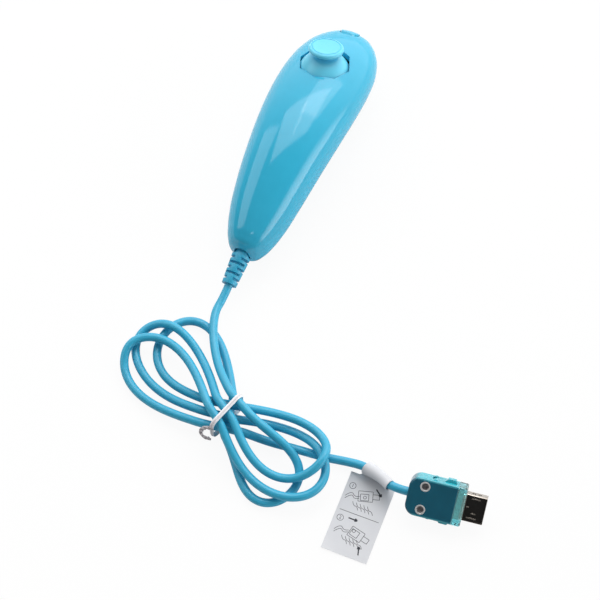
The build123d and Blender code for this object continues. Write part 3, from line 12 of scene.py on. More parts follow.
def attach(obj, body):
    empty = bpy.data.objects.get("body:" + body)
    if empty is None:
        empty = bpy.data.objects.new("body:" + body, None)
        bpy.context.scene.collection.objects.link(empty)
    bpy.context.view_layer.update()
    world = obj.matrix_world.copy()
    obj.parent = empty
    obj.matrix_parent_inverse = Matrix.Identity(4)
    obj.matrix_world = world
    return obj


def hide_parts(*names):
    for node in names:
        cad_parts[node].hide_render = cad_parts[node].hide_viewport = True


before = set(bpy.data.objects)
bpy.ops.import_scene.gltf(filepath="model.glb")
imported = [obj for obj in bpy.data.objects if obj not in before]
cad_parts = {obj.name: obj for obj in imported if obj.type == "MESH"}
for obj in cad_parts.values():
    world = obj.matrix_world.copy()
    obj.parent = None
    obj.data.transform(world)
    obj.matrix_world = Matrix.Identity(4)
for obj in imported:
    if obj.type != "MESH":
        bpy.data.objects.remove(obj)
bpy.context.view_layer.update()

log = logging.getLogger("wand")
MM = 0.001
# How finely curves are divided along and round
CURVE_STEPS, WIRE_SIDES = 6, 3
# Turns a piece modelled along Z to run along X, with its width along Y
ALONG_X = Matrix(((0, 0, 1, 0), (1, 0, 0, 0), (0, 1, 0, 0), (0, 0, 0, 1)))
Point = tuple[float, float, float]
Flat = tuple[float, float]
Line = Sequence[Sequence[float]]


def linear(colour: str) -> tuple[float, float, float, float]:
    """Turns an sRGB hex value into a linear colour.

    Args:
        colour: Six hex digits after a hash sign.

    Returns:
        The linear red, green, blue and an alpha of 1.
    """
    parts = [int(colour[i : i + 2], 16) / 255 for i in (1, 3, 5)]
    channels = [c / 12.92 if c <= 0.04045 else ((c + 0.055) / 1.055) ** 2.4 for c in parts]
    return channels[0], channels[1], channels[2], 1.0


def lerp(a: float, b: float, share: float) -> float:
    """Returns the value a share of the way from a to b."""
    return a + (b - a) * share


def eased(places: Sequence[float], values: Sequence[float], place: float) -> float:
    """Reads a smooth curve through given values.

    Args:
        places: Rising places of the values.
        values: One value for each place.
        place: Where to read.

    Returns:
        The curve's value, with the same slopes on both sides of each place.
    """
    count = len(places)
    steps = [places[i + 1] - places[i] for i in range(count - 1)]
    rises = [(values[i + 1] - values[i]) / steps[i] for i in range(count - 1)]
    k = max(i for i in range(count - 1) if i == 0 or places[i] <= place)
    slopes = []
    for i in (k, k + 1):
        if i == 0:
            slopes.append(rises[0])
        elif i == count - 1:
            slopes.append(rises[-1])
        else:
            both = steps[i - 1] + steps[i]
            slopes.append((rises[i - 1] * steps[i] + rises[i] * steps[i - 1]) / both)
    u = (place - places[k]) / steps[k]
    start = (1 + 2 * u) * (1 - u) ** 2 * values[k] + u * (1 - u) ** 2 * steps[k] * slopes[0]
    end = u * u * (3 - 2 * u) * values[k + 1] + u * u * (u - 1) * steps[k] * slopes[1]
    return start + end


# ---- Finishes


def add_node(tree: NodeTree, kind: str, settings: dict | None = None, **links: object) -> Node:
    """Adds a shader node.

    Args:
        tree: The material's node tree.
        kind: The node's type name, without its ShaderNode prefix.
        settings: Attributes to set on the node.
        **links: Values or sockets by input name, with underscores for spaces, or by i and number.

    Returns:
        The new node.
    """
    node = tree.nodes.new("ShaderNode" + kind)
    for name, value in (settings or {}).items():
        setattr(node, name, value)
    for name, value in links.items():
        numbered = name[0] == "i" and name[1:].isdigit()
        key = int(name[1:]) if numbered else name.replace("_", " ")
        if isinstance(value, NodeSocket):
            tree.links.new(value, node.inputs[key])
        else:
            node.inputs[key].default_value = value
    return node


def mixed(tree: NodeTree, share: NodeSocket, first: object, second: object) -> NodeSocket:
    """Mixes two colours by a share."""
    kind = {"data_type": "RGBA"}
    return add_node(tree, "Mix", kind, Factor=share, i6=first, i7=second).outputs[2]


def maths(tree: NodeTree, operation: str, *values: object) -> NodeSocket:
    """Works out one value from one or two others."""
    inputs = {f"i{k}": value for k, value in enumerate(values)}
    return add_node(tree, "Math", {"operation": operation}, **inputs).outputs[0]


def ranged(tree: NodeTree, value: NodeSocket, curve: str = "LINEAR", **ends: object) -> NodeSocket:
    """Maps a value from one range to another."""
    kind = {"interpolation_type": curve}
    return add_node(tree, "MapRange", kind, Value=value, **ends).outputs["Result"]


def noise(tree: NodeTree, place: NodeSocket, size_mm: float, detail: float) -> NodeSocket:
    """Spreads a cloudy value with patches of a size."""
    scale = 1 / (size_mm * MM)
    return add_node(tree, "TexNoise", Vector=place, Scale=scale, Detail=detail).outputs["Fac"]


def seen(tree: NodeTree) -> NodeSocket:
    """Returns 1 for a ray from the camera, straight or through clear plastic."""
    path = add_node(tree, "LightPath").outputs
    return maths(tree, "MAXIMUM", path["Is Camera Ray"], path["Is Transmission Ray"])


def fresh_material(name: str) -> Material:
    """Makes a material with an empty node tree."""
    material = bpy.data.materials.new(name)
    material.use_nodes = True
    material.node_tree.nodes.clear()
    return material


@dataclass(frozen=True)
class Surface:
    """A material that is built once, under its own name."""

    name: str

    def paint(self, tree: NodeTree) -> dict[str, object]:
        """Returns the inputs of the principled shader, with the nodes that they need."""
        raise NotImplementedError

    def material(self) -> Material:
        """Builds the node material, unless it is there already."""
        ready = bpy.data.materials.get(self.name)
        if ready:
            return ready
        material = fresh_material(self.name)
        tree = material.node_tree
        shader = add_node(tree, "BsdfPrincipled", **self.paint(tree))
        add_node(tree, "OutputMaterial", Surface=shader.outputs["BSDF"])
        return material


@dataclass(frozen=True)
class Finish(Surface):
    """What a surface is made of and how it was made.

    The colour drifts a little between two tones over a few millimetres, the roughness varies on the
    scale of the handling marks, and the grain raises a fine bump.
    """

    light: str
    dark: str
    roughness: float
    roughness_drift: float = 0.05
    metallic: float = 0.0
    ior: float = 1.5
    drift_mm: float = 6.0
    grain_mm: float = 0.5
    grain_depth_mm: float = 0.002
    subsurface: float = 0.0
    scatter_mm: float = 2.0
    brush_stretch: float = 1.0
    drift_detail: float = 2.0
    grain_detail: float = 3.0

    def paint(self, tree: NodeTree) -> dict[str, object]:
        """Returns the shader's inputs: two drifting tones, a varied gloss and a fine grain."""
        place = add_node(tree, "TexCoord").outputs["Object"]
        stretch = (1.0, 1.0, self.brush_stretch)
        place = add_node(tree, "Mapping", Vector=place, Scale=stretch).outputs["Vector"]
        drift = noise(tree, place, self.drift_mm, self.drift_detail)
        grain = noise(tree, place, self.grain_mm, self.grain_detail)
        low, high = (self.roughness + side * self.roughness_drift for side in (-1, 1))
        bump = add_node(tree, "Bump", Height=grain, Distance=self.grain_depth_mm * MM, Strength=1.0)
        return {
            "Base_Color": mixed(tree, drift, linear(self.light), linear(self.dark)),
            "Roughness": ranged(tree, grain, To_Min=low, To_Max=high),
            "Metallic": self.metallic,
            "IOR": self.ior,
            "Normal": bump.outputs["Normal"],
            "Subsurface_Weight": self.subsurface,
            "Subsurface_Scale": self.scatter_mm * MM,
        }


# Injection-moulded ABS, polished in the tool: clear soft-edged reflections over an even light blue
GLOSS_ABS = Finish(
    "Moulded_ABS_polished_blue", "#35b0d2", "#2fa9cb", 0.1, 0.02, grain_mm=1.2, grain_depth_mm=0.001
)
# The same ABS on the thumb stick, spark-eroded to a fine satin that spreads the highlight; its
# colour is painted paler than the shells', a painted highlight for the stick standing in the light
SATIN_ABS_PAINTED_PALER = Finish(
    "Moulded_ABS_satin_blue_painted_paler", "#68cfeb", "#5ec8e5", 0.34, 0.06, grain_mm=0.25, grain_depth_mm=0.003
)
# Extruded soft PVC sheath of the cord: a satin skin with faint ripples from the die
PVC_SHEATH = Finish(
    "Extruded_PVC_sheath_blue", "#38adcf", "#2ba1c5", 0.36, grain_mm=0.6, grain_depth_mm=0.01
)
# Moulded soft PVC of the strain relief, a little duller and darker than the sheath
PVC_RELIEF = Finish(
    "Moulded_PVC_relief_blue", "#34a8ca", "#289abd", 0.42, 0.06, grain_mm=0.3, grain_depth_mm=0.006
)
# Zinc-plated steel: a pale metal, slightly cloudy
ZINC_STEEL = Finish(
    "Zinc_plated_steel", "#d3d4d3", "#b6b8b8", 0.24, 0.08, metallic=1.0, grain_mm=0.2
)
# Drawn stainless spring wire: greyer, with a thin highlight along each turn
SPRING_WIRE = Finish(
    "Drawn_spring_steel", "#b9bbbc", "#8f9294", 0.3, 0.08, metallic=1.0, grain_mm=0.1
)
# Rolled tin-plated steel of the connector's skin: warm, with streaks along the rolling
TIN_SHEET = Finish(
    "Rolled_tin_plate", "#cfc6bc", "#a89f96", 0.22, 0.07,
    metallic=1.0, drift_mm=2.0, grain_mm=0.15, brush_stretch=0.04,
)
# Moulded glass-filled nylon: black with a dull sparkle from its fibres
BLACK_NYLON = Finish(
    "Moulded_nylon_black", "#0d0b09", "#15120f", 0.3, 0.08, grain_mm=0.15, grain_depth_mm=0.006
)
# Moulded acetal of the sliding pieces: natural white, waxy and a little translucent
ACETAL = Finish(
    "Moulded_acetal_white", "#e6e5df", "#dad8d0", 0.4, 0.06,
    grain_mm=0.3, grain_depth_mm=0.004, subsurface=0.1,
)
# Pressed phenolic of the potentiometers: a dull dark green
PHENOLIC = Finish(
    "Pressed_phenolic_green", "#2c6b4c", "#245c40", 0.45, 0.08, grain_mm=0.2, grain_depth_mm=0.006
)
# Solder mask on an epoxy board: glossy green over the weave of the glass
SOLDER_MASK = Finish(
    "Epoxy_board_solder_mask", "#1d5e33", "#154a27", 0.28, 0.07, grain_mm=0.35, grain_depth_mm=0.01
)
# Moulded silicone of the dome pad: pale grey, matt and soft
SILICONE = Finish(
    "Moulded_silicone_grey", "#c9c8c0", "#bab9b0", 0.5, 0.06,
    grain_mm=0.3, grain_depth_mm=0.005, subsurface=0.15,
)
# Extruded strip of the twist tie: a smooth cool white
TIE_STRIP = Finish(
    "Extruded_tie_strip_white", "#f2f3f5", "#e3e5e9", 0.38, 0.06, grain_mm=0.3, grain_depth_mm=0.01
)
# The strip where it is wound on itself: a greyer tone than the band
TIE_WOUND_GREY = Finish(
    "Twisted_strip_grey", "#bdb8bb", "#8f8a8e", 0.48, 0.08, drift_mm=1.2, grain_mm=0.2
)
# The strip where its wire shows through: a dull greyish ridge
TIE_WIRE = Finish("Wire_ridge_in_strip", "#dcd7da", "#c6c0c6", 0.42, 0.06, grain_mm=0.2)
# Coated paper, calendered: a cool grey white with the faint cloud of its fibres
COATED_PAPER = Finish(
    "Coated_paper_white", "#d8d9dc", "#cfd0d5", 0.5,
    drift_mm=9.0, grain_mm=0.25, grain_depth_mm=0.008,
)
# Offset ink on the paper: a flat dark line with no gloss of its own
OFFSET_INK = Finish("Offset_ink_dark", "#20232b", "#2c2f38", 0.6, grain_mm=0.1)
# Metal rims of the screw wells, near white and only half metal: a painted highlight that keeps them
# bright from every side
RIM_PAINTED_BRIGHT = Finish(
    "Metal_rim_painted_bright", "#f3f3f2", "#dcdcdb", 0.3, 0.06, metallic=0.55, grain_mm=0.2
)
# Steel of the screws' heads, painted dark: painted shade for the dark centres of the heads, its
# tone drifting between a pale and a dark grey
SCREW_STEEL_PAINTED_DARK = Finish(
    "Steel_head_painted_dark", "#a09ea0", "#4c4b4e", 0.3, 0.1,
    metallic=0.9, drift_mm=0.8, grain_mm=0.1,
)


@dataclass(frozen=True)
class TintedPlastic(Surface):
    """Polycarbonate moulded over the connector: deep teal behind, nearly clear at its front.

    The tint is one plastic seen through two depths, so the colour and the share of light that
    passes change at the front wall. The narrow side walls are painted paler: a painted highlight
    for the light that falls on them.
    """

    name: str = "Moulded_polycarbonate_teal_sides_painted_pale"
    deep: str = "#0f647c"
    # Paler tone of the narrow side walls: a painted highlight for the light that falls on them
    edge: str = "#3cc0d0"
    clear: str = "#a9eaf0"
    roughness: float = 0.05
    ior: float = 1.58
    deep_passes: float = 0.22
    clear_passes: float = 0.93
    # Where the painted highlight on the side walls starts and where it is full, in mm from the
    # middle
    lit_side_start: float = 6.6
    lit_side_full: float = 7.65
    band_start: float = 18.2
    band_fade: float = 0.5
    cloud_mm: float = 5.0
    cloud_depth: float = 0.12

    def paint(self, tree: NodeTree) -> dict[str, object]:
        """Returns the shader's inputs: tints by place with painted pale side walls, under a faint
        cloud.
        """
        plug = Plug.frame_of()
        place = add_node(tree, "TexCoord").outputs["Object"]
        kind = {"operation": "DOT_PRODUCT"}
        reads = []
        for k in (0, 1):
            axis = plug.to_3x3().col[k]
            dot = add_node(tree, "VectorMath", kind, i0=place, i1=tuple(axis))
            reads.append((dot.outputs["Value"], axis.dot(plug.translation)))
        (along, start), (across, middle) = reads
        start += self.band_start * MM
        band = ranged(tree, along, From_Min=start, From_Max=start + self.band_fade * MM)
        away = maths(tree, "ABSOLUTE", maths(tree, "SUBTRACT", across, middle))
        # Painted highlight: walls far from the middle are painted paler, as if lit
        thin = ranged(tree, away, From_Min=self.lit_side_start * MM, From_Max=self.lit_side_full * MM)
        wall = mixed(tree, thin, linear(self.deep), linear(self.edge))
        cloud = noise(tree, place, self.cloud_mm, 1.0)
        shade = ranged(tree, cloud, To_Min=1 - self.cloud_depth, To_Max=1 + self.cloud_depth)
        tone = mixed(tree, band, wall, linear(self.clear))
        return {
            "Base_Color": add_node(tree, "HueSaturation", Color=tone, Value=shade).outputs["Color"],
            "Roughness": self.roughness,
            "IOR": self.ior,
            "Transmission_Weight": ranged(
                tree, band, To_Min=self.deep_passes, To_Max=self.clear_passes
            ),
        }


TINTED_PC = TintedPlastic()


class Carrier(Enum):
    """The frame's bodies that the modelled pieces ride."""

    WAND = "body"
    STICK = "stick"


class Half(Enum):
    """Which side of the parting line a shell is on."""

    UPPER = "upper"
    LOWER = "lower"


# ---- Mesh tools


def deselect() -> None:
    """Leaves nothing selected."""
    if bpy.context.mode != "OBJECT":
        bpy.ops.object.mode_set(mode="OBJECT")
    bpy.ops.object.select_all(action="DESELECT")


def pick(*objects: Object) -> None:
    """Selects only these objects, the last of them active."""
    deselect()
    for one in objects:
        one.select_set(True)
    bpy.context.view_layer.objects.active = objects[-1]


def made(name: str) -> Object:
    """Names the object that an operator has just added and returns it."""
    new = bpy.context.active_object
    new.name = name
    new.data.name = name
    return new


def settle(obj: Object, placed: Matrix | None = None) -> Object:
    """Moves a piece to its place and bakes the place into its mesh.

    Args:
        obj: The piece, modelled about the origin.
        placed: The frame that it belongs to, if it isn't there yet.

    Returns:
        The same object, at the origin and unturned.
    """
    if placed is not None:
        obj.matrix_world = placed @ obj.matrix_world
    pick(obj)
    bpy.ops.object.transform_apply(location=True, rotation=True, scale=True)
    return obj


def apply_modifier(obj: Object, kind: str, **settings: object) -> None:
    """Adds a modifier with its settings and applies it."""
    modifier = obj.modifiers.new(kind.title(), kind)
    for name, value in settings.items():
        setattr(modifier, name, value)
    pick(obj)
    bpy.ops.object.modifier_apply(modifier=modifier.name)


def combine(obj: Object, other: Object, operation: str) -> None:
    """Unites a shape with a piece, or cuts it out, and deletes the shape."""
    apply_modifier(obj, "BOOLEAN", operation=operation, solver="EXACT", object=other)
    pick(other)
    bpy.ops.object.delete()


def cut_away(obj: Object, *cutters: Object) -> None:
    """Cuts shapes out of a piece, one by one."""
    for cutter in cutters:
        combine(obj, cutter, "DIFFERENCE")


def edit_mesh(obj: Object, *jobs: Callable[[], object]) -> None:
    """Runs mesh operators on the whole of a piece."""
    pick(obj)
    bpy.ops.object.mode_set(mode="EDIT")
    bpy.ops.mesh.select_all(action="SELECT")
    for job in jobs:
        job()
    bpy.ops.object.mode_set(mode="OBJECT")


def tidy_normals(obj: Object, merge_mm: float = 0.005) -> None:
    """Merges doubled vertices and turns every face outwards."""
    edit_mesh(
        obj,
        lambda: bpy.ops.mesh.remove_doubles(threshold=merge_mm * MM),
        lambda: bpy.ops.mesh.normals_make_consistent(inside=False),
    )


def smooth(obj: Object, sharp_deg: float = 40.0) -> Object:
    """Shades a piece smooth except at its sharp edges."""
    pick(obj)
    bpy.ops.object.shade_smooth_by_angle(angle=radians(sharp_deg))
    return obj


def round_edges(obj: Object, width_mm: float, segments: int = 2, angle_deg: float = 50.0) -> None:
    """Rounds a piece's edges where its faces meet at more than an angle."""
    limit = {"limit_method": "ANGLE", "angle_limit": radians(angle_deg)}
    apply_modifier(obj, "BEVEL", width=width_mm * MM, segments=segments, **limit)


def dress(obj: Object, finish: Surface) -> None:
    """Gives a piece one finish all over."""
    obj.data.materials.clear()
    obj.data.materials.append(finish.material())


def linked(name: str, data: ID) -> Object:
    """Puts a mesh or a curve in the scene under a name."""
    piece = bpy.data.objects.new(name, data)
    bpy.context.scene.collection.objects.link(piece)
    return piece


def turned(name: str, profile: Sequence[Flat], steps: int) -> Object:
    """Spins a profile about the local Z axis.

    Args:
        name: The new piece's name.
        profile: Radius and height of each point in mm, from one end on the axis to the other.
        steps: Number of steps round the turn.

    Returns:
        The closed turned piece, about the origin.
    """
    spots = [(radius * MM, 0.0, height * MM) for radius, height in profile]
    mesh = bpy.data.meshes.new(name)
    mesh.from_pydata(spots, [(i, i + 1) for i in range(len(spots) - 1)], [])
    piece = linked(name, mesh)
    spin = {"steps": steps, "angle": 2 * pi, "center": (0, 0, 0), "axis": (0, 0, 1)}
    edit_mesh(piece, lambda: bpy.ops.mesh.spin(**spin))
    tidy_normals(piece)
    return piece


def block(name: str, size: Point, centre: Point) -> Object:
    """Adds a box of a size at a place, both in mm."""
    deselect()
    place, scale = ([value * MM for value in values] for values in (centre, size))
    bpy.ops.mesh.primitive_cube_add(size=1, location=place, scale=scale)
    return settle(made(name))


def prism(name: str, outline: Sequence[Flat], low: float, high: float) -> Object:
    """Raises a flat outline into a prism.

    Args:
        name: The new piece's name.
        outline: Points in mm, in order round the outline.
        low: Height of its base in mm.
        high: Height of its top in mm.

    Returns:
        The closed prism.
    """
    deselect()
    count = len(outline)
    bpy.ops.mesh.primitive_circle_add(vertices=count, radius=MM, fill_type="NGON")
    piece = made(name)
    for vertex, (x, y) in zip(piece.data.vertices, outline):
        vertex.co = (x * MM, y * MM, low * MM)
    rise = {"value": (0, 0, (high - low) * MM)}
    edit_mesh(piece, lambda: bpy.ops.mesh.extrude_region_move(TRANSFORM_OT_translate=rise))
    tidy_normals(piece)
    return piece


def bow(centre: Flat, radii: Flat, start: float, end: float, steps: int) -> list[Flat]:
    """Points of an elliptical arc in mm, with angles from its second axis to its first."""
    angles = [lerp(start, end, i / steps) for i in range(steps + 1)]
    return [(centre[0] + radii[0] * sin(a), centre[1] + radii[1] * cos(a)) for a in angles]


def disc(radius: float, steps: int = 48) -> list[Flat]:
    """Points of a circle about the origin, in mm, anticlockwise."""
    angles = [2 * pi * i / steps for i in range(steps)]
    return [(radius * cos(a), radius * sin(a)) for a in angles]


def shifted(outline: Iterable[Flat], x: float, y: float) -> list[Flat]:
    """Moves an outline by x and y mm."""
    return [(px + x, py + y) for px, py in outline]


def joined(name: str, pieces: Sequence[Object]) -> Object:
    """Joins pieces into one object under a name."""
    pick(*pieces)
    if len(pieces) > 1:
        bpy.ops.object.join()
    return made(name)


def curved(name: str, lines: Sequence[Line], radius: float, sides: int) -> Object:
    """Draws round wires as one curve, bent through three points or more and straight through two.

    Args:
        name: The new curve's name.
        lines: One list of points in metres for each wire.
        radius: The wires' radius in mm.
        sides: The fineness of the wires' roundness.

    Returns:
        The curve object.
    """
    curve = bpy.data.curves.new(name, "CURVE")
    curve.dimensions = "3D"
    curve.bevel_depth = radius * MM
    curve.bevel_resolution = sides
    curve.resolution_u = CURVE_STEPS
    curve.use_fill_caps = True
    for points in lines:
        bends = len(points) > 2
        spline = curve.splines.new("NURBS" if bends else "POLY")
        spline.points.add(len(points) - 1)
        for target, point in zip(spline.points, points):
            target.co = (*point, 1.0)
        if bends:
            spline.order_u = 3
            spline.use_endpoint_u = True
    return linked(name, curve)


def wires(name: str, lines: Sequence[Line], radius: float) -> Object:
    """Draws wires along points in mm and turns them into one mesh."""
    scaled = [[Vector(point) * MM for point in line] for line in lines]
    pick(curved(name, scaled, radius, WIRE_SIDES))
    bpy.ops.object.convert(target="MESH")
    return made(name)


def finish_piece(
    obj: Object, finish: Surface, *nodes: str, slot: str = "", carrier: Carrier = Carrier.WAND
) -> Object:
    """Dresses a piece, sets it on its body and hides the frame nodes that it stands for."""
    dress(obj, finish)
    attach(obj, carrier.value)
    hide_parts(*nodes)
    return obj


def rounded_box(width: float, height: float, corner: float, steps: int = 8) -> list[Flat]:
    """Points of a rounded rectangle about the origin, in mm, anticlockwise."""
    points = []
    for k, (sx, sy) in enumerate(((1, 1), (-1, 1), (-1, -1), (1, -1))):
        x, y = sx * (width / 2 - corner), sy * (height / 2 - corner)
        turns = [(k + i / steps) * pi / 2 for i in range(steps + 1)]
        points += [(x + corner * cos(a), y + corner * sin(a)) for a in turns]
    return points


# ---- Studio


def aim(obj: Object, way: Vector) -> None:
    """Turns a camera or a lamp to look along a direction."""
    obj.rotation_euler = way.to_track_quat("-Z", "Y").to_euler()


@dataclass(frozen=True)
class SoftBox:
    """A flat lamp: its place, the spot that it lights, its size in metres and its watts."""

    name: str
    place: Point
    spot: Point
    width: float
    height: float
    power: float

    def hang(self) -> None:
        """Adds the lamp."""
        deselect()
        bpy.ops.object.light_add(type="AREA", location=self.place)
        lamp = made(self.name)
        aim(lamp, Vector(self.spot) - Vector(self.place))
        lamp.data.shape = "RECTANGLE"
        lamp.data.size, lamp.data.size_y = self.width, self.height
        lamp.data.energy = self.power


@dataclass
class Studio:
    """Floor, lamps, world and camera, as the photograph was taken."""

    eye_mm: Point = (162.22, -353.5, 651.96)
    look: Point = (-0.183, 0.40961, -0.89372)
    focal_px: float = 1801.96
    picture_px: float = 600.0
    sensor_mm: float = 36.0
    nearest_m: float = 0.01
    floor_m: float = 6.0
    floor_white: float = 0.9
    floor_glow: float = 0.93
    tent_strength: float = 0.17
    # Where the tent grows brighter: the axis, the share of the way there and how much it adds
    tent_glows: Sequence[tuple[str, float, float]] = (("X", 0.8, 4.2), ("Y", 0.0, 1.7))
    lamps: Sequence[SoftBox] = (
        # The broad reflection along the wand's back, and the thin bright line in it
        SoftBox("Studio_key", (-0.2, 0.5, 1.1), (0.0, 0.02, 0.0), 1.02, 0.66, 5.0),
        SoftBox("Studio_streak", (-0.21, 0.49, 1.06), (0.0, 0.02, 0.0), 0.02, 0.42, 0.14),
        # The soft light on the left flank and the small glint near the tail
        SoftBox("Studio_fill", (-1.05, -0.1, 0.85), (0.0, 0.0, 0.0), 1.1, 0.75, 4.8),
        SoftBox("Studio_front", (0.25, -0.75, 1.0), (0.05, -0.1, 0.0), 0.3, 0.12, 0.3),
        # The light that lifts the stick and the gate
        SoftBox("Studio_head", (0.03, 0.42, 0.5), (0.01, 0.05, 0.02), 0.4, 0.3, 0.7),
    )

    def build(self) -> None:
        """Makes the camera, the floor, the lamps and the world."""
        self.camera()
        self.floor()
        for lamp in self.lamps:
            lamp.hang()
        self.world()
        log.info("studio lit with %d lamps", len(self.lamps))

    def camera(self) -> None:
        """Places the camera where the photograph was taken from."""
        deselect()
        bpy.ops.object.camera_add(location=[v * MM for v in self.eye_mm])
        camera = made("Studio_camera")
        aim(camera, Vector(self.look))
        camera.data.sensor_width = self.sensor_mm
        camera.data.lens = self.sensor_mm * self.focal_px / self.picture_px
        camera.data.clip_start = self.nearest_m
        bpy.context.scene.camera = camera

    def floor(self) -> None:
        """Adds the pale table, which takes shadows and looks white to the camera."""
        deselect()
        bpy.ops.mesh.primitive_plane_add(size=self.floor_m, location=(0, 0, 0))
        table = made("Studio_table")
        finish = fresh_material("Studio_white_table")
        tree = finish.node_tree
        white = self.floor_white
        paint = add_node(tree, "BsdfDiffuse", Color=(white, white, white, 1)).outputs[0]
        glow = add_node(tree, "Emission", Color=(1, 1, 1, 1), Strength=1.0).outputs[0]
        share = maths(tree, "MULTIPLY", seen(tree), self.floor_glow)
        both = add_node(tree, "MixShader", Fac=share, i1=paint, i2=glow)
        add_node(tree, "OutputMaterial", Surface=both.outputs[0])
        table.data.materials.append(finish)

    def world(self) -> None:
        """Lights all round with a soft white, brighter from the right and from behind."""
        world = bpy.data.worlds.new("Studio_tent")
        bpy.context.scene.world = world
        world.use_nodes = True
        tree = world.node_tree
        tree.nodes.clear()
        way = add_node(tree, "SeparateXYZ", Vector=add_node(tree, "TexCoord").outputs["Generated"])
        tent = self.tent_strength
        for axis, start, glow in self.tent_glows:
            rise = ranged(tree, way.outputs[axis], "SMOOTHSTEP", From_Min=start, To_Max=glow)
            tent = maths(tree, "ADD", rise, tent)
        strength = ranged(tree, seen(tree), To_Min=tent, To_Max=1.0)
        glow = add_node(tree, "Background", Color=(1, 1, 1, 1), Strength=strength)
        add_node(tree, "OutputWorld", Surface=glow.outputs[0])
        bpy.context.scene.view_settings.view_transform = "Standard"


# ---- Cord


@dataclass
class Cord:
    """The cord from the wand's strain relief through its hank to the plug."""

    body: "WandBody"
    diameter: float = 3.4
    length_m: float = 0.806
    layout: Flat = (-0.005, -7.7)
    end_run: float = 6.4
    lead: Sequence[Point] = (
        (0.9, -83.2, 5.5), (3.4, -90.6, 6.2), (7.3, -97.8, 6.6),
        (11.6, -103.9, 7.4), (16.2, -109.2, 9.2), (23.0, -115.4, 10.8),
    )
    tail: Sequence[Point] = (
        (32.0, -126.2, 5.5), (38.0, -125.3, 3.4), (44.0, -124.5, 2.3), (51.3, -123.3, 1.85),
        (58.8, -122.3, 1.8), (66.2, -121.4, 1.8), (73.8, -119.8, 2.2), (81.2, -119.1, 3.5),
        (88.4, -121.2, 5.5), (94.58, -124.41, 7.65), (100.9, -123.4, 7.65),
    )
    tie: Flat = (24.9, -121.6)
    angle_deg: float = -16.5
    # For each loop of the hank: its ends by the tie, and how its round shape is bent from an oval
    starts: Sequence[Flat] = (
        (2.1, 4.6), (-3.4, 6.4), (2.3, 5.3), (-6.4, 0.4), (3.7, 0.0), (-6.9, -4.1),
    )
    ends: Sequence[Flat] = (
        (2.2, -6.2), (-10.8, -1.0), (3.1, -1.6), (-6.4, -4.9), (1.0, -6.2), (-4.4, -9.4),
    )
    reaches: Sequence[float] = (34.5, 36.6, 37.5, 42.8, 41.5, 44.6)
    angles_deg: Sequence[float] = (-14.9, 159.8, 6.1, 170.0, 4.0, 175.0)
    widths: Sequence[float] = (8.1, -10.6, 10.6, -9.9, 12.0, -9.9)
    squares: Sequence[float] = (-3.0, -2.0, -1.5, -2.4, -2.6, 0.4)
    bulges: Sequence[float] = (-0.2, 1.4, -1.3, 0.4, 0.1, -0.2)
    twists: Sequence[float] = (-2.5, 0.4, -0.1, 0.2, -0.1, -0.9)
    heights: Sequence[Sequence[float]] = (
        (11.1, 9.3, 5.0, 2.0, 2.1, 2.0, 2.15),
        (2.15, 2.1, 2.0, 2.0, 2.3, 2.5, 4.8),
        (6.8, 7.0, 7.6, 11.1, 6.9, 7.7, 10.6),
        (10.3, 5.8, 7.0, 2.5, 2.2, 2.4, 6.4),
        (6.0, 3.0, 6.0, 6.4, 6.0, 6.0, 10.5),
        (10.9, 7.4, 6.9, 5.8, 2.7, 2.8, 5.8),
    )
    points_in_loop: int = 24
    sides: int = 5
    line: Object = field(init=False)

    def on_table(self, x: float, y: float, z: float) -> Vector:
        """Returns a point given from under the middle of the wand, in metres."""
        return Vector((x - self.layout[0], y - self.layout[1], z)) * MM

    def from_tie(self, x: float, y: float, z: float) -> Vector:
        """Returns a point given along and across the hank, in metres."""
        c, s = cos(radians(self.angle_deg)), sin(radians(self.angle_deg))
        return self.on_table(self.tie[0] + x * c - y * s, self.tie[1] + x * s + y * c, z)

    def loop_point(self, i: int, t: float) -> Vector:
        """Returns the point a share t of the way round loop i."""
        out = radians(self.angles_deg[i])
        once, twice, thrice, fourfold = (sin(k * pi * t) for k in (1, 2, 3, 4))
        reach = self.reaches[i] * once + self.squares[i] * thrice
        side = self.widths[i] * twice + self.bulges[i] * thrice + self.twists[i] * fourfold
        x, y = (lerp(a, b, t) for a, b in zip(self.starts[i], self.ends[i]))
        x += reach * cos(out) - side * sin(out)
        y += reach * sin(out) + side * cos(out)
        heights = self.heights[i]
        places = [k / (len(heights) - 1) for k in range(len(heights))]
        return self.from_tie(x, y, eased(places, heights, t))

    def build(self) -> None:
        """Lays the cord as one spline."""
        relief = self.body.relief_frame
        starts = (self.body.relief_length, self.body.relief_length + self.end_run)
        points = [relief @ Vector((0, 0, z * MM)) for z in starts]
        points += [self.on_table(*p) for p in self.lead]
        last = self.points_in_loop - 1
        for i in range(len(self.reaches)):
            points += [self.loop_point(i, k / last) for k in range(last + 1)]
        points += [self.on_table(*p) for p in self.tail]
        self.line = curved("Cord", [points], self.diameter / 2, self.sides)
        nodes = ("cord_lead", "cord_hank", "cord_tail")
        finish_piece(self.line, PVC_SHEATH, *nodes, slot="cord_blue")
        log.info("cord laid with %d points", len(points))

    def declare(self) -> None:
        """Works out where the cord leaves the strain relief, and keeps nothing."""
        tuple(self.body.relief_frame @ Vector((0, 0, self.body.relief_length * MM)))


# ---- Wand


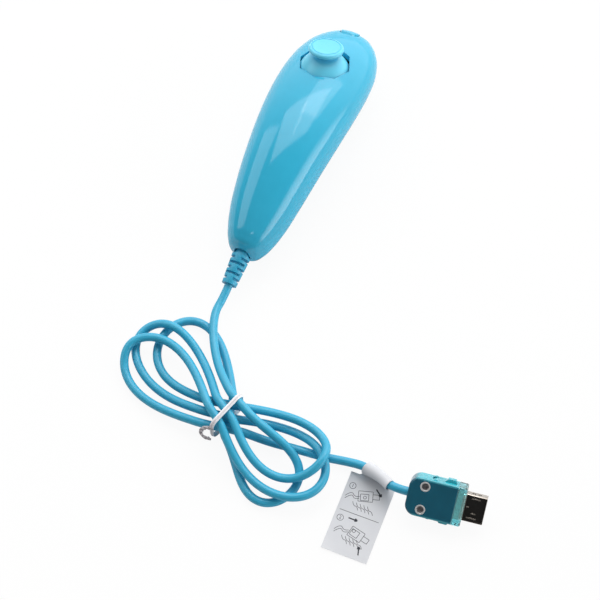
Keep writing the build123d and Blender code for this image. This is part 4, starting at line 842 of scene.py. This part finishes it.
@dataclass
class WandBody:
    """The two moulded shells, with the openings of the two buttons on the nose."""

    length: float = 113.0
    width: float = 38.2
    height: float = 32.7
    wall: float = 2.2
    upper_fullness: float = 0.61
    lower_fullness: float = 0.56
    roll_deg: float = 6.2
    origin: Point = (1.829, 6.8, 0.169)
    stations: Sequence[float] = (
        0, 0.012, 0.036, 0.075, 0.137, 0.243, 0.394, 0.553,
        0.677, 0.783, 0.872, 0.938, 0.978, 0.995, 1,
    )
    widths: Sequence[float] = (
        0.18, 0.31, 0.425, 0.53, 0.64, 0.755, 0.871, 0.964,
        1, 0.99, 0.912, 0.75, 0.555, 0.4, 0.26,
    )
    tops: Sequence[float] = (
        0.416, 0.504, 0.577, 0.651, 0.741, 0.86, 0.97, 1,
        0.96, 0.872, 0.762, 0.657, 0.572, 0.522, 0.498,
    )
    unders: Sequence[float] = (
        0.147, 0.078, 0.028, 0.002, 0.002, 0.06, 0.125, 0.109,
        0.041, 0.003, 0.009, 0.053, 0.135, 0.22, 0.262,
    )
    seams: Sequence[float] = (
        0.284, 0.268, 0.28, 0.306, 0.356, 0.436, 0.516, 0.551,
        0.536, 0.487, 0.434, 0.398, 0.376, 0.37, 0.374,
    )
    rings: int = 88
    steps: int = 40
    ball_steps: Sequence[int] = (24, 64)
    even_rings: float = 0.35
    gate_from_nose: float = 25.3
    gate_lean_deg: float = 23.0
    gate_across: float = 20.4
    pivot_depth: float = 8.0
    gate_cut: float = 30.0
    clearance: float = 11.8
    lip_round: float = 0.12
    sharp_deg: float = 50.0
    nose_depth: float = 7.9
    nose_overrun: float = 6.0
    c_size: Flat = (8.2, 4.6)
    c_gap: float = 0.35
    c_share: float = 0.52
    z_size: Flat = (12.6, 9.2)
    z_gap: float = 0.5
    z_round: float = 2.6
    z_share: float = 0.256
    screws_from_tail: Sequence[float] = (19.5, 45.5)
    screw_land: float = 3.0
    boss_radius: float = 3.1
    bore_radius: float = 2.3
    relief_droop_deg: float = 12.0
    relief_length: float = 13.6
    relief_neck: float = 2.95

    @property
    def frame(self) -> Matrix:
        """The wand's frame in the scene: rolled a little to its left."""
        r = radians(self.roll_deg)
        turn = Matrix(((cos(r), 0, -sin(r)), (0, 1, 0), (sin(r), 0, cos(r)))).to_4x4()
        return Matrix.Translation(Vector(self.origin) * MM) @ turn

    @property
    def stick_frame(self) -> Matrix:
        """The stick's frame: origin at its pivot, Z along it."""
        lean = radians(self.gate_lean_deg)
        y = self.length / 2 - self.gate_from_nose
        top = self.height * self.share(self.tops, y)
        deep = self.pivot_depth
        pivot = Vector((0, y - deep * sin(lean), top - deep * cos(lean))) * MM
        return self.frame @ Matrix.Translation(pivot) @ Matrix.Rotation(-lean, 4, "X")

    @property
    def relief_frame(self) -> Matrix:
        """The strain relief's frame: origin on the tail's end, Z outwards and down."""
        droop = radians(self.relief_droop_deg)
        middle = self.height * (self.tops[0] + self.unders[0]) / 2
        root = Matrix.Translation(Vector((0, -self.length / 2, middle)) * MM)
        return self.frame @ root @ Matrix.Rotation(pi / 2 + droop, 4, "X")

    def share(self, table: Sequence[float], y: float) -> float:
        """Reads one of the outline's tables at y mm along the wand."""
        return eased(self.stations, table, min(1.0, max(0.0, y / self.length + 0.5)))

    def half(self, name: str, upper: bool) -> Object:
        """Lofts one shell's outer skin over the outline and gives it its wall.

        Args:
            name: The shell's name.
            upper: Whether it is the shell above the parting line.

        Returns:
            The closed shell in the wand's own frame.
        """
        deselect()
        steps = self.steps
        bpy.ops.mesh.primitive_grid_add(x_subdivisions=2 * steps, y_subdivisions=self.rings, size=1)
        shell = made(name)
        full = self.upper_fullness if upper else self.lower_fullness
        for index, vertex in enumerate(shell.data.vertices):
            ring, step = divmod(index, 2 * steps + 1)
            along = 0.5 - 0.5 * cos(pi * ring / self.rings)
            y = (lerp(along, ring / self.rings, self.even_rings) - 0.5) * self.length
            seam = self.height * self.share(self.seams, y)
            rise = self.height * self.share(self.tops if upper else self.unders, y) - seam
            side = 1 if step <= steps else -1
            u = step / steps if step <= steps else 2 - step / steps
            x = (1 - u) ** 3 + 3 * (1 - u) ** 2 * u + 3 * (1 - u) * u * u * full
            z = 3 * (1 - u) ** 2 * u * full + 3 * (1 - u) * u * u + u ** 3
            x *= side * self.width / 2 * self.share(self.widths, y)
            vertex.co = (x * MM, y * MM, (seam + rise * z) * MM)
        edit_mesh(shell, lambda: bpy.ops.mesh.normals_make_consistent(inside=False))
        up = sum(face.normal.z for face in shell.data.polygons)
        if (up > 0) != upper:
            shell.data.flip_normals()
        wall = {"thickness": self.wall * MM, "offset": -1.0}
        apply_modifier(shell, "SOLIDIFY", use_rim=True, use_even_offset=False, **wall)
        return shell

    def gate_cutters(self) -> list[Object]:
        """Makes the octagon of the gate and the ball that clears the dome, in the scene's frame."""
        octagon = disc(self.gate_across / 2 / cos(pi / 8), 8)
        gate = prism("Gate_cutter", octagon, 0.0, self.gate_cut)
        down, round_it = self.ball_steps
        arc = bow((0, 0), (self.clearance, self.clearance), 0, pi, down)
        ball = turned("Dome_cutter", arc, round_it)
        return [settle(cutter, self.stick_frame) for cutter in (gate, ball)]

    def nose_cutters(self) -> list[Object]:
        """Makes the openings of the two buttons on the nose, in the scene's frame."""
        to_nose = self.frame @ Matrix.Rotation(pi / 2, 4, "X")
        end = -self.length / 2
        cutters = []
        for size, gap, corner, share in (
            (self.c_size, self.c_gap, self.c_size[1] / 2 + self.c_gap, self.c_share),
            (self.z_size, self.z_gap, self.z_round, self.z_share),
        ):
            hole = rounded_box(size[0] + 2 * gap, size[1] + 2 * gap, corner)
            hole = shifted(hole, 0, self.height * share)
            hole = prism("Opening_cutter", hole, end - self.nose_overrun, end + self.nose_depth)
            cutters.append(settle(hole, to_nose))
        return cutters

    def tail_cutter(self) -> Object:
        """Makes the round hole that the strain relief's neck goes through."""
        hole = prism("Tail_cutter", disc(self.relief_neck), -self.nose_depth, self.nose_overrun)
        return settle(hole, self.relief_frame)

    def screw_tube(self, from_tail: float) -> list[Object]:
        """Makes one screw's boss and the bore that is cut through it and the shell."""
        y = from_tail - self.length / 2
        head = self.height * self.share(self.seams, y) - self.screw_land
        foot = self.height * self.share(self.unders, y) + self.wall / 2
        tubes = (
            ("Boss", self.boss_radius, foot),
            ("Bore_cutter", self.bore_radius, -self.nose_overrun),
        )
        return [
            settle(prism(name, shifted(disc(radius), 0, y), low, head), self.frame)
            for name, radius, low in tubes
        ]

    def shell(self, half: Half) -> Object:
        """Cuts one shell's openings, rounds its edges and sets it in place."""
        upper = half is Half.UPPER
        shell = settle(self.half(f"{half.value.title()}_shell_skin", upper), self.frame)
        cutters = self.nose_cutters() + [self.tail_cutter()]
        if upper:
            cutters += self.gate_cutters()
        else:
            for y in self.screws_from_tail:
                boss, bore = self.screw_tube(y)
                combine(shell, boss, "UNION")
                cutters.append(bore)
        cut_away(shell, *cutters)
        round_edges(shell, self.lip_round)
        smooth(shell, self.sharp_deg)
        return finish_piece(shell, GLOSS_ABS, f"{half.value}_shell", slot="shell_blue")

    def build(self) -> None:
        """Makes both shells."""
        for half in Half:
            shell = self.shell(half)
            log.info("%s shell made with %d faces", half.value, len(shell.data.polygons))


@dataclass
class StrainRelief:
    """The ribbed boot that keeps the cord from kinking at the tail."""

    body: WandBody
    start: float = 0.9
    root_radius: float = 3.9
    tip_radius: float = 3.1
    neck_radius: float = 2.9
    neck_depth: float = 1.5
    core_radius: float = 2.15
    rib: float = 1.15
    slots: int = 5
    web: float = 2.6
    ring: float = 1.7
    edge: float = 0.32
    edge_segments: int = 3
    edge_deg: float = 40.0
    steps: int = 64
    core_steps: int = 48
    cutter_size: float = 12.0

    def build(self) -> None:
        """Turns the boot, cuts its staggered slots and adds the core inside them."""
        length, neck = self.body.relief_length, self.neck_radius
        profile = [(0, -self.neck_depth), (neck, -self.neck_depth), (neck, self.start)]
        profile += [(self.root_radius, self.start), (self.tip_radius, length), (0, length)]
        boot = turned("Strain_relief_boot", profile, self.steps)
        pitch = (length - self.start - self.ring) / self.slots
        tall, reach = pitch - self.rib, self.web / 2 + self.cutter_size / 2
        for i in range(self.slots):
            middle = self.start + self.rib + i * pitch + tall / 2
            for out in (-reach, reach):
                centre = (0, out, middle) if i % 2 else (out, 0, middle)
                size = (self.cutter_size, self.cutter_size, tall)
                cut_away(boot, block("Slot_cutter", size, centre))
        round_edges(boot, self.edge, self.edge_segments, self.edge_deg)
        outline = [(0, 0), (self.core_radius, 0), (self.core_radius, length), (0, length)]
        core = turned("Relief_core", outline, self.core_steps)
        boot = joined("Strain_relief_boot", [core, boot])
        smooth(settle(boot, self.body.relief_frame), self.body.sharp_deg)
        finish_piece(boot, PVC_RELIEF, "strain_relief", slot="cord_blue")
        log.info("strain relief cut with %d slots", 2 * self.slots)


@dataclass
class TwistTie:
    """The paper-white tie round the hank, with its wire and its twisted tail."""

    cord: Cord
    left: float = -10.3
    right: float = 7.8
    top: float = 13.4
    corner: float = 3.2
    width: float = 1.9
    thickness: float = 0.35
    ridge: float = 0.7
    ridge_rise: float = 0.22
    ridge_inset: float = 0.04
    edge_share: float = 0.3
    strand: float = 0.48
    strand_out: float = 0.5
    taper: float = 0.2
    turns: float = 3.5
    steps: int = 12
    tail: Sequence[Point] = (
        (0.4, -10.1, 10.3), (-1.9, -11.7, 10.2), (-2.3, -13.6, 9.2),
        (-0.3, -14.1, 8.3), (1.8, -13.1, 7.8),
    )

    def band(self, name: str, width: float, inset: float) -> Object:
        """Makes one closed band across the hank, drawn in by an inset."""
        wide, tall = self.right - self.left - 2 * inset, self.top - 2 * inset
        rings = []
        for wall in (0.0, self.thickness):
            ring = rounded_box(wide - 2 * wall, tall - 2 * wall, self.corner - inset - wall)
            rings.append(shifted(ring, (self.left + self.right) / 2, self.top / 2))
        strip = prism(name, rings[0], -width / 2, width / 2)
        cut_away(strip, prism("Band_cutter", rings[1], -width, width))
        round_edges(strip, self.thickness * self.edge_share)
        return settle(strip, self.place @ ALONG_X)

    @property
    def place(self) -> Matrix:
        """The tie's frame: origin under the hank's crossing, X along the hank."""
        turn = Matrix.Rotation(radians(self.cord.angle_deg), 4, "Z")
        return Matrix.Translation(self.cord.from_tie(0, 0, 0)) @ turn

    def strands(self) -> list[list[Point]]:
        """Returns the two strands that wind about the tail's line."""
        spots = [k / (len(self.tail) - 1) for k in range(len(self.tail))]
        count = int(self.turns * self.steps)
        lines = [[], []]
        for i in range(count + 1):
            t = i / count
            x, y, z = (eased(spots, values, t) for values in zip(*self.tail))
            off = self.strand_out * (1 - self.taper * t)
            for line, phase in zip(lines, (0.0, pi)):
                a = phase + 2 * pi * self.turns * t
                line.append((x + off * cos(a), y, z + off * sin(a)))
        return lines

    def build(self) -> list[Object]:
        """Makes the band, its tail and its ridge."""
        strands = self.strands()
        pieces = [
            (self.band("Twist_tie_strip", self.width, self.ridge_rise), TIE_STRIP),
            (settle(wires("Twist_tie_tail", strands, self.strand), self.place), TIE_WOUND_GREY),
            (self.band("Twist_tie_wire", self.ridge, self.ridge_inset), TIE_WIRE),
        ]
        log.info("twist tie wound with %d strands", len(strands))
        return [finish_piece(smooth(piece), finish, "twist_tie") for piece, finish in pieces]


@dataclass
class PaperTag:
    """The folded paper tag: its panel, the loose sleeve round the cord and its print."""

    cord: Cord
    width: float = 18.4
    length: float = 33.2
    thickness: float = 0.16
    merge: float = 0.001
    corner: Flat = (77.1, -121.9)
    turn_deg: float = 2.75
    # How far the panel's foot lifts at its left, and the share of that at its right
    curl: float = 0.9
    right_curl: float = 0.35
    sleeve_length: float = 12.6
    sleeve_radius: float = 2.15
    sleeve_flat: float = 0.9
    sleeve_open: float = 0.3
    sleeve_wrap: float = 0.97
    tab_start: float = 3.2
    tab_foot: float = -0.3
    columns: int = 12
    panel_rows: int = 24
    tab_rows: int = 6
    sleeve_rows: int = 40
    ink_radius: float = 0.1
    bold_radius: float = 0.26
    ink_flat: float = 0.3
    digit_size: float = 1.9
    digits: Sequence[tuple[str, float, float]] = (("1", 2.6, -5.4), ("2", 2.6, -19.2))
    digit_ring: float = 1.25
    ring_steps: int = 20
    knob_steps: int = 12
    rule: Sequence[Flat] = ((1.2, -16.0), (17.0, -16.0))
    # Each picture of a plug: where its corner is and its turn
    plugs: Sequence[Point] = ((6.6, -10.6, 16), (7.4, -24.8, -14))
    # Its housing, the panel on that and the tip: place and size
    housing: Flat = (5.6, 4.2)
    inset: Flat = (0.7, 0.6)
    inset_size: Flat = (3.2, 2.6)
    tip: Flat = (5.6, 1.1)
    tip_size: Flat = (2.6, 2.0)
    knob: Point = (2.0, 2.3, 0.6)
    # The two edges of its cord, and one of the strokes that shade it
    edges: Sequence[Sequence[Flat]] = (
        ((-5.4, 0.4), (-3.6, 3.2), (-1.6, 1.0), (0, 2.0)),
        ((-5.2, -0.6), (-3.2, 2.2), (-1.6, 0.1), (0, 1.2)),
    )
    stroke: Sequence[Flat] = ((-1.8, -0.8), (-1.0, -2.4), (0.6, -2.2), (1.2, -3.6))
    strokes: int = 5
    stroke_step: float = 1.5
    # Each arrow's start, reach and turn, and its barbs' length and spread
    arrows: Sequence[tuple[float, float, float, float]] = (
        (11.6, -3.6, 3.6, -38),
        (5.6, -18.2, 3.6, 0),
        (14.2, -31.0, 3.4, 104),
    )
    barb_share: float = 0.32
    barb_spread: float = 0.5

    @property
    def frame(self) -> Matrix:
        """The panel's frame: X along its top edge, Y away from its foot."""
        origin = self.cord.on_table(*self.corner, 0)
        return Matrix.Translation(origin) @ Matrix.Rotation(radians(self.turn_deg), 4, "Z")

    def height(self, u: float, v: float) -> float:
        """Returns how high the sheet lies, in mm, at a spot of the panel."""
        foot, side = -v / self.length, u / self.width
        rise = foot ** 3 * (1 - side) ** 2 + self.right_curl * foot ** 4 * side ** 3
        return self.thickness + self.curl * rise

    def sheet(self, name: str, rows: int, spot: Callable[[float, float], Vector]) -> Object:
        """Makes a thin sheet of paper over a formula.

        Args:
            name: The new piece's name.
            rows: Squares along it.
            spot: Gives the place in metres for two shares from 0 to 1.

        Returns:
            The sheet with its thickness.
        """
        deselect()
        squares = {"x_subdivisions": self.columns, "y_subdivisions": rows}
        bpy.ops.mesh.primitive_grid_add(size=1, **squares)
        paper = made(name)
        for vertex in paper.data.vertices:
            vertex.co = spot(vertex.co.x + 0.5, vertex.co.y + 0.5)
        apply_modifier(paper, "SOLIDIFY", thickness=self.thickness * MM, offset=0.0)
        tidy_normals(paper, self.merge)
        return smooth(paper)

    def sleeve_spot(self, t: float, turn: float) -> Vector:
        """Returns a point of the sleeve: t along the cord and a share of the way round it."""
        places = [self.cord.on_table(*p) for p in self.cord.tail[-4:-1]]
        span = places[2] - places[0]
        along = 0.5 + (t - 0.5) * self.sleeve_length / (span.length / MM)
        centre = Vector([eased((0.0, 0.5, 1.0), values, along) for values in zip(*places)])
        way = span.normalized()
        up = (Vector((0, 0, 1)) - way * way.z).normalized()
        a = 2 * pi * turn * self.sleeve_wrap
        radius = self.sleeve_radius * (1 + self.sleeve_open * (1 - t) ** 2) * MM
        drop = up * (radius * self.sleeve_flat * cos(a))
        return centre + way.cross(up) * (radius * sin(a)) - drop

    def panel_spot(self, u: float, v: float) -> Vector:
        """Returns a point of the panel for two shares, across it and up it."""
        x, y = u * self.width, (v - 1) * self.length
        return self.frame @ (Vector((x, y, self.height(x, y))) * MM)

    def tab_spot(self, u: float, v: float) -> Vector:
        """Returns a point of the tab that rises from the panel to the sleeve."""
        x = self.tab_start + u * self.sleeve_length
        foot = self.frame @ (Vector((x, self.tab_foot, self.thickness)) * MM)
        top = self.sleeve_spot(u, 0.0)
        place = foot.lerp(top, v)
        place.z = lerp(foot.z, top.z, v * v * (3 - 2 * v))
        return place

    def ring(self, x: float, y: float, radius: float, steps: int) -> list[Point]:
        """Returns a closed ring of ink points on the panel."""
        turns = [2 * pi * i / steps for i in range(steps + 1)]
        return [(x + radius * cos(a), y + radius * sin(a), 0.0) for a in turns]

    def arrow(self, x: float, y: float, reach: float, turn_deg: float) -> list[list[Point]]:
        """Returns an arrow of a reach in mm, pointing the way of its turn."""
        a, barb = radians(turn_deg), self.barb_share * reach
        tip = (x + reach * cos(a), y + reach * sin(a), 0.0)
        lines = [[(x, y, 0.0), tip]]
        for side in (-1, 1):
            b = a + pi - side * self.barb_spread
            lines.append([tip, (tip[0] + barb * cos(b), tip[1] + barb * sin(b), 0.0)])
        return lines

    def picture(self, x: float, y: float, turn_deg: float) -> list[list[Point]]:
        """Returns the thin strokes of one picture: a plug, its cord and its shading."""
        c, s = cos(radians(turn_deg)), sin(radians(turn_deg))
        lines = [self.ring(x + self.knob[0], y + self.knob[1], self.knob[2], self.knob_steps)]
        tip = (self.tip[0] * c - self.tip[1] * s, self.tip[0] * s + self.tip[1] * c)
        boxes = (((0, 0), self.housing), (self.inset, self.inset_size), (tip, self.tip_size))
        for (left, low), (wide, tall) in boxes:
            corners = ((0, 0), (wide, 0), (wide, tall), (0, tall), (0, 0))
            spots = [(left + u * c - v * s, low + u * s + v * c) for u, v in corners]
            spots = [(u, v, 0.0) for u, v in shifted(spots, x, y)]
            lines += [list(pair) for pair in zip(spots, spots[1:])]
        runs = list(self.edges)
        runs += [shifted(self.stroke, k * self.stroke_step, 0) for k in range(self.strokes)]
        return lines + [[(x + u, y + v, 0.0) for u, v in run] for run in runs]

    def artwork(self) -> Object:
        """Prints the two pictures, their numbers and the arrows on the panel."""
        bold = [line for arrow in self.arrows for line in self.arrow(*arrow)]
        thin = [[(x, y, 0.0) for x, y in self.rule]]
        thin += [self.ring(x, y, self.digit_ring, self.ring_steps) for _, x, y in self.digits]
        thin += [line for plug in self.plugs for line in self.picture(*plug)]
        ink = [
            wires("Tag_arrows", bold, self.bold_radius),
            wires("Tag_print", thin, self.ink_radius),
        ]
        for text, x, y in self.digits:
            deselect()
            bpy.ops.object.text_add(location=(x * MM, y * MM, 0))
            label = bpy.context.active_object.data
            label.body, label.size = text, self.digit_size * MM
            label.align_x = label.align_y = "CENTER"
            label.extrude = self.ink_radius * MM
            bpy.ops.object.convert(target="MESH")
            ink.append(settle(made("Tag_number_" + text)))
        art = joined("Tag_print", ink)
        for vertex in art.data.vertices:
            x, y, z = vertex.co / MM
            vertex.co.z = (self.height(x, y) + self.thickness / 2 + z * self.ink_flat) * MM
        return settle(art, self.frame)

    def build(self) -> list[Object]:
        """Makes the paper and its print; returns the pieces that hang on the cord."""
        sheets = [
            self.sheet("Tag_panel", self.panel_rows, self.panel_spot),
            self.sheet("Tag_tab", self.tab_rows, self.tab_spot),
            self.sheet("Tag_sleeve", self.sleeve_rows, self.sleeve_spot),
        ]
        paper = finish_piece(joined("Tag_paper", sheets), COATED_PAPER, "instruction_tag")
        ink = finish_piece(self.artwork(), OFFSET_INK, "instruction_tag")
        faces = (len(paper.data.polygons), len(ink.data.polygons))
        log.info("tag folded with %d faces and %d of print", *faces)
        return [paper, ink]


@dataclass
class Plug:
    """The plug's metal and black pieces: screws, connector skin, insert and contacts."""

    rear: Point = (100.905, -115.7, 7.65)
    heading_deg: float = 9.1
    roll_deg: float = 38.0
    shoulder: float = 22.0
    reach: float = 30.0
    skin_start: float = 17.0
    width: float = 10.8
    height: float = 5.0
    skin: float = 0.35
    corner: float = 0.8
    rim: float = 0.22
    side_rim: float = 0.3
    side_holes: Sequence[float] = (24.6, 26.7)
    hole_size: Flat = (1.5, 1.1)
    overrun: float = 1.0
    skin_edge: float = 0.08
    core_gap: float = 0.04
    core_back: float = 0.15
    # How much smaller the insert's raised faces are than the skin's window, each way
    face_gaps: Point = (0.2, 0.1, 0.1)
    # The slot for the host's contacts: what it leaves at the sides, its height and its depth
    slot: Point = (1.2, 1.5, 5.5)
    slot_overrun: float = 0.01
    insert_edge: float = 0.12
    # Ribs on both faces: place along, place across and length
    ribs: Sequence[Point] = (
        (25.8, 4.1, 3.3), (23.2, 0.55, 1.1), (25.8, -1.7, 1.8), (25.4, -3.6, 3.9),
    )
    rib_width: float = 0.5
    rib_thickness: float = 0.25
    rib_sunk: float = 0.03
    # Tabs behind the clear front: place along, place across, length and width
    tabs: Sequence[tuple[float, float, float, float]] = (
        (19.7, 4.5, 2.2, 1.9), (20.0, 2.7, 2.4, 0.5), (20.2, -4.7, 1.3, 1.0),
    )
    tab_level: float = 2.7
    tab_thickness: float = 0.3
    rib_edge: float = 0.06
    face: float = 4.1
    screw_back: float = 6.1
    screw_side: float = 4.6
    sunk: float = 0.12
    # A screw head's half outline below its crown, and the arms of its cross with their depth
    crown: Sequence[Flat] = (
        (0, 0), (0.7, -0.03), (1.1, -0.14), (1.33, -0.36), (1.33, -1.4), (0, -1.4),
    )
    cross: Point = (1.9, 0.62, 1.2)
    head_edge: float = 0.05
    head_steps: int = 48
    rim_radius: float = 2.0
    well_radius: float = 1.38
    rim_depth: float = 0.9
    rim_rise: float = 0.03
    rim_edge: float = 0.14
    rim_segments: int = 3

    @classmethod
    def frame_of(cls) -> Matrix:
        """Returns the plug's frame: X along it, Z out of its face."""
        heading, roll = radians(cls.heading_deg), radians(cls.roll_deg)
        x = Vector((cos(heading), sin(heading), 0))
        z = Vector((sin(heading) * sin(roll), -cos(heading) * sin(roll), cos(roll)))
        turn = Matrix((x, z.cross(x), z)).transposed().to_4x4()
        return Matrix.Translation(Vector(cls.rear) * MM) @ turn

    def core(self, name: str, gap: float, low: float, high: float) -> Object:
        """Makes the form inside the skin, smaller by a gap."""
        wide, tall = (size - 2 * self.skin - gap for size in (self.width, self.height))
        return prism(name, rounded_box(wide, tall, self.corner - self.skin), low, high)

    def connector(self) -> list[Object]:
        """Makes the tin skin, open on both faces, and the black insert inside it."""
        outline = rounded_box(self.width, self.height, self.corner)
        skin = prism("Connector_skin", outline, self.skin_start, self.reach)
        ends = (self.skin_start - self.overrun, self.reach + self.overrun)
        cut_away(skin, self.core("Skin_cutter", 0, *ends))
        wide = self.width - 2 * self.side_rim
        window = self.reach - self.shoulder - 2 * self.rim
        centre = (0, 0, (self.reach + self.shoulder) / 2)
        cut_away(skin, block("Window_cutter", (wide, self.height * 2, window), centre))
        for along in self.side_holes:
            size = (self.width * 2, self.hole_size[1], self.hole_size[0])
            cut_away(skin, block("Hole_cutter", size, (0, 0, along)))
        round_edges(skin, self.skin_edge)
        ends = (self.skin_start, self.reach - self.core_back)
        insert = self.core("Contact_insert_black", self.core_gap, *ends)
        size = [a - b for a, b in zip((wide, self.height, window), self.face_gaps)]
        insert = joined("Contact_insert_black", [block("Insert_face", size, centre), insert])
        side, tall, deep = self.slot
        centre = (0, 0, self.reach - deep / 2 + self.slot_overrun)
        cut_away(insert, block("Slot_cutter", (wide - side, tall, deep), centre))
        round_edges(insert, self.insert_edge)
        for piece in (skin, insert):
            smooth(settle(piece, self.frame_of() @ ALONG_X))
        return [
            finish_piece(skin, TIN_SHEET, "connector_shell"),
            finish_piece(insert, BLACK_NYLON, "contact_insert"),
        ]

    def contacts(self) -> Object:
        """Lays the short bright ribs on both black faces and the tabs behind the clear front."""
        bars = []
        for side in (-1, 1):
            level = self.height / 2 - self.rib_sunk
            for along, across, length in self.ribs:
                size = (length, self.rib_width, self.rib_thickness)
                bars.append(block("Rib", size, (along, side * across, side * level)))
            for along, across, length, wide in self.tabs:
                size = (length, wide, self.tab_thickness)
                bars.append(block("Tab", size, (along, across, side * self.tab_level)))
        ribs = joined("Contact_ribs_bright", bars)
        round_edges(ribs, self.rib_edge)
        smooth(settle(ribs, self.frame_of()))
        return finish_piece(ribs, TIN_SHEET, "contact_ribs")

    def screws(self) -> list[Object]:
        """Makes the two cross-head screws of the face, their heads painted dark and their rims
        painted bright.
        """
        heads, rims = [], []
        top = self.face - self.sunk
        low, high = self.face - self.rim_depth, self.face + self.rim_rise
        length, wide, deep = self.cross
        for side in (-1, 1):
            spot = Vector((self.screw_back, side * self.screw_side, 0)) * MM
            head = turned("Screw_head", shifted(self.crown, 0, top), self.head_steps)
            for size in ((length, wide, deep), (wide, length, deep)):
                cut_away(head, block("Cross_cutter", size, (0, 0, top)))
            round_edges(head, self.head_edge)
            heads.append(settle(head, Matrix.Translation(spot)))
            rim = prism("Screw_rim", disc(self.rim_radius), low, high)
            ends = (low - self.overrun, high + self.overrun)
            cut_away(rim, prism("Rim_cutter", disc(self.well_radius), *ends))
            round_edges(rim, self.rim_edge, self.rim_segments)
            rims.append(settle(rim, Matrix.Translation(spot)))
        heads, rims = joined("Plug_screw_heads", heads), joined("Plug_screw_rims", rims)
        for piece in (heads, rims):
            smooth(settle(piece, self.frame_of()))
        return [
            finish_piece(heads, SCREW_STEEL_PAINTED_DARK, "plug_screws"),
            finish_piece(rims, RIM_PAINTED_BRIGHT, "plug_screws"),
        ]

    def build(self) -> list[Object]:
        """Makes the plug's modelled pieces."""
        pieces = self.connector() + [self.contacts()] + self.screws()
        log.info("plug fitted with %d modelled pieces", len(pieces))
        return pieces


@dataclass
class ThumbStick:
    """The stick's cap: thumb disc, neck and the dome in the gate."""

    body: WandBody
    dome_radius: float = 11.5
    dome_wall: float = 1.2
    rim_deg: float = 80.0
    flare_deg: float = 28.0
    neck_radius: float = 3.2
    neck_drop: float = 0.9
    cap_radius: float = 7.4
    cap_under: float = 12.4
    cap_top: float = 14.6
    ring_radius: float = 6.0
    ring_width: float = 0.55
    ring_depth: float = 0.28
    dish: float = 0.35
    dish_shares: Sequence[float] = (0.4, 0.7, 0.9, 1.0)
    curve_steps: int = 8
    bead_steps: int = 14
    dome_steps: int = 24
    steps: int = 128
    sharp_deg: float = 45.0

    def profile(self) -> list[Flat]:
        """Half the cap's outline, from the crown down the outside and up the inside."""
        top, under, ring = self.cap_top, self.cap_under, self.ring_radius
        points = [(0.0, top - self.dish)]
        for share in self.dish_shares:
            height = top - self.dish * (1 - share ** 3)
            points.append((ring * share - self.ring_width, height))
        bead = (top - under) / 2
        hub, neck, sill = self.cap_radius - bead, self.neck_radius, under - self.neck_drop
        flare, rim = radians(self.flare_deg), radians(self.rim_deg)
        outer, inner = self.dome_radius, self.dome_radius - self.dome_wall
        foot = (outer * sin(flare), outer * cos(flare))
        few, many, right = self.curve_steps, self.dome_steps, pi / 2
        points += bow((ring, top), (self.ring_width / 2, -self.ring_depth), -right, right, few)
        points += bow((hub, (under + top) / 2), (bead, bead), 0, pi, self.bead_steps)[1:]
        points += bow((hub, sill), (neck - hub, under - sill), 0, right, few)[1:-1]
        points += bow((foot[0], sill), (foot[0] - neck, foot[1] - sill), -right, 0, few)
        points += bow((0, 0), (outer, outer), flare, rim, many)[1:]
        return points + bow((0, 0), (inner, inner), rim, 0, many)

    def build(self) -> None:
        """Turns the cap and sets it on the stick's body."""
        cap = turned("Stick_cap_skin", self.profile(), self.steps)
        settle(cap, self.body.stick_frame)
        smooth(cap, self.sharp_deg)
        finish_piece(cap, SATIN_ABS_PAINTED_PALER, "stick_cap", slot="shell_blue", carrier=Carrier.STICK)
        log.info("stick cap turned with %d faces", len(cap.data.polygons))


# ---- Pieces carried over from the frame


@dataclass
class FramePieces:
    """Finishes for the pieces that keep the frame's own solids."""

    finishes: Sequence[tuple[Surface, str]] = (
        (GLOSS_ABS, "c_button z_trigger"),
        (PVC_SHEATH, "inner_cable plug_core"),
        (ZINC_STEEL, "shell_screws board_screws stick_pin trigger_pin latch_pins stick_cover"),
        (SPRING_WIRE, "centring_spring"),
        (BLACK_NYLON, "board_chips roll_yoke pitch_yoke stick_base button_frame cord_clamp"),
        (ACETAL, "stick_shaft spring_plate cable_socket"),
        (PHENOLIC, "pitch_pot roll_pot"),
        (SOLDER_MASK, "main_board button_board plug_board"),
        (SILICONE, "rubber_pad"),
        (TINTED_PC, "plug_top plug_bottom left_latch right_latch"),
    )

    def build(self) -> None:
        """Dresses every node that is still shown."""
        for finish, names in self.finishes:
            for name in names.split():
                dress(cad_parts[name], finish)
            log.info("%s on %s", finish.name, names)


def main() -> None:
    """Builds the scene, piece by piece, in order."""
    logging.basicConfig(level=logging.INFO, format="%(name)s: %(message)s")
    Studio().build()
    body = WandBody()
    cord = Cord(body)
    cord.build()
    body.build()
    ThumbStick(body).build()
    StrainRelief(body).build()
    tie = TwistTie(cord).build()
    tag = PaperTag(cord).build()
    plug = Plug().build()
    FramePieces().build()
    cord.declare()


if __name__ == "__main__":
    main()
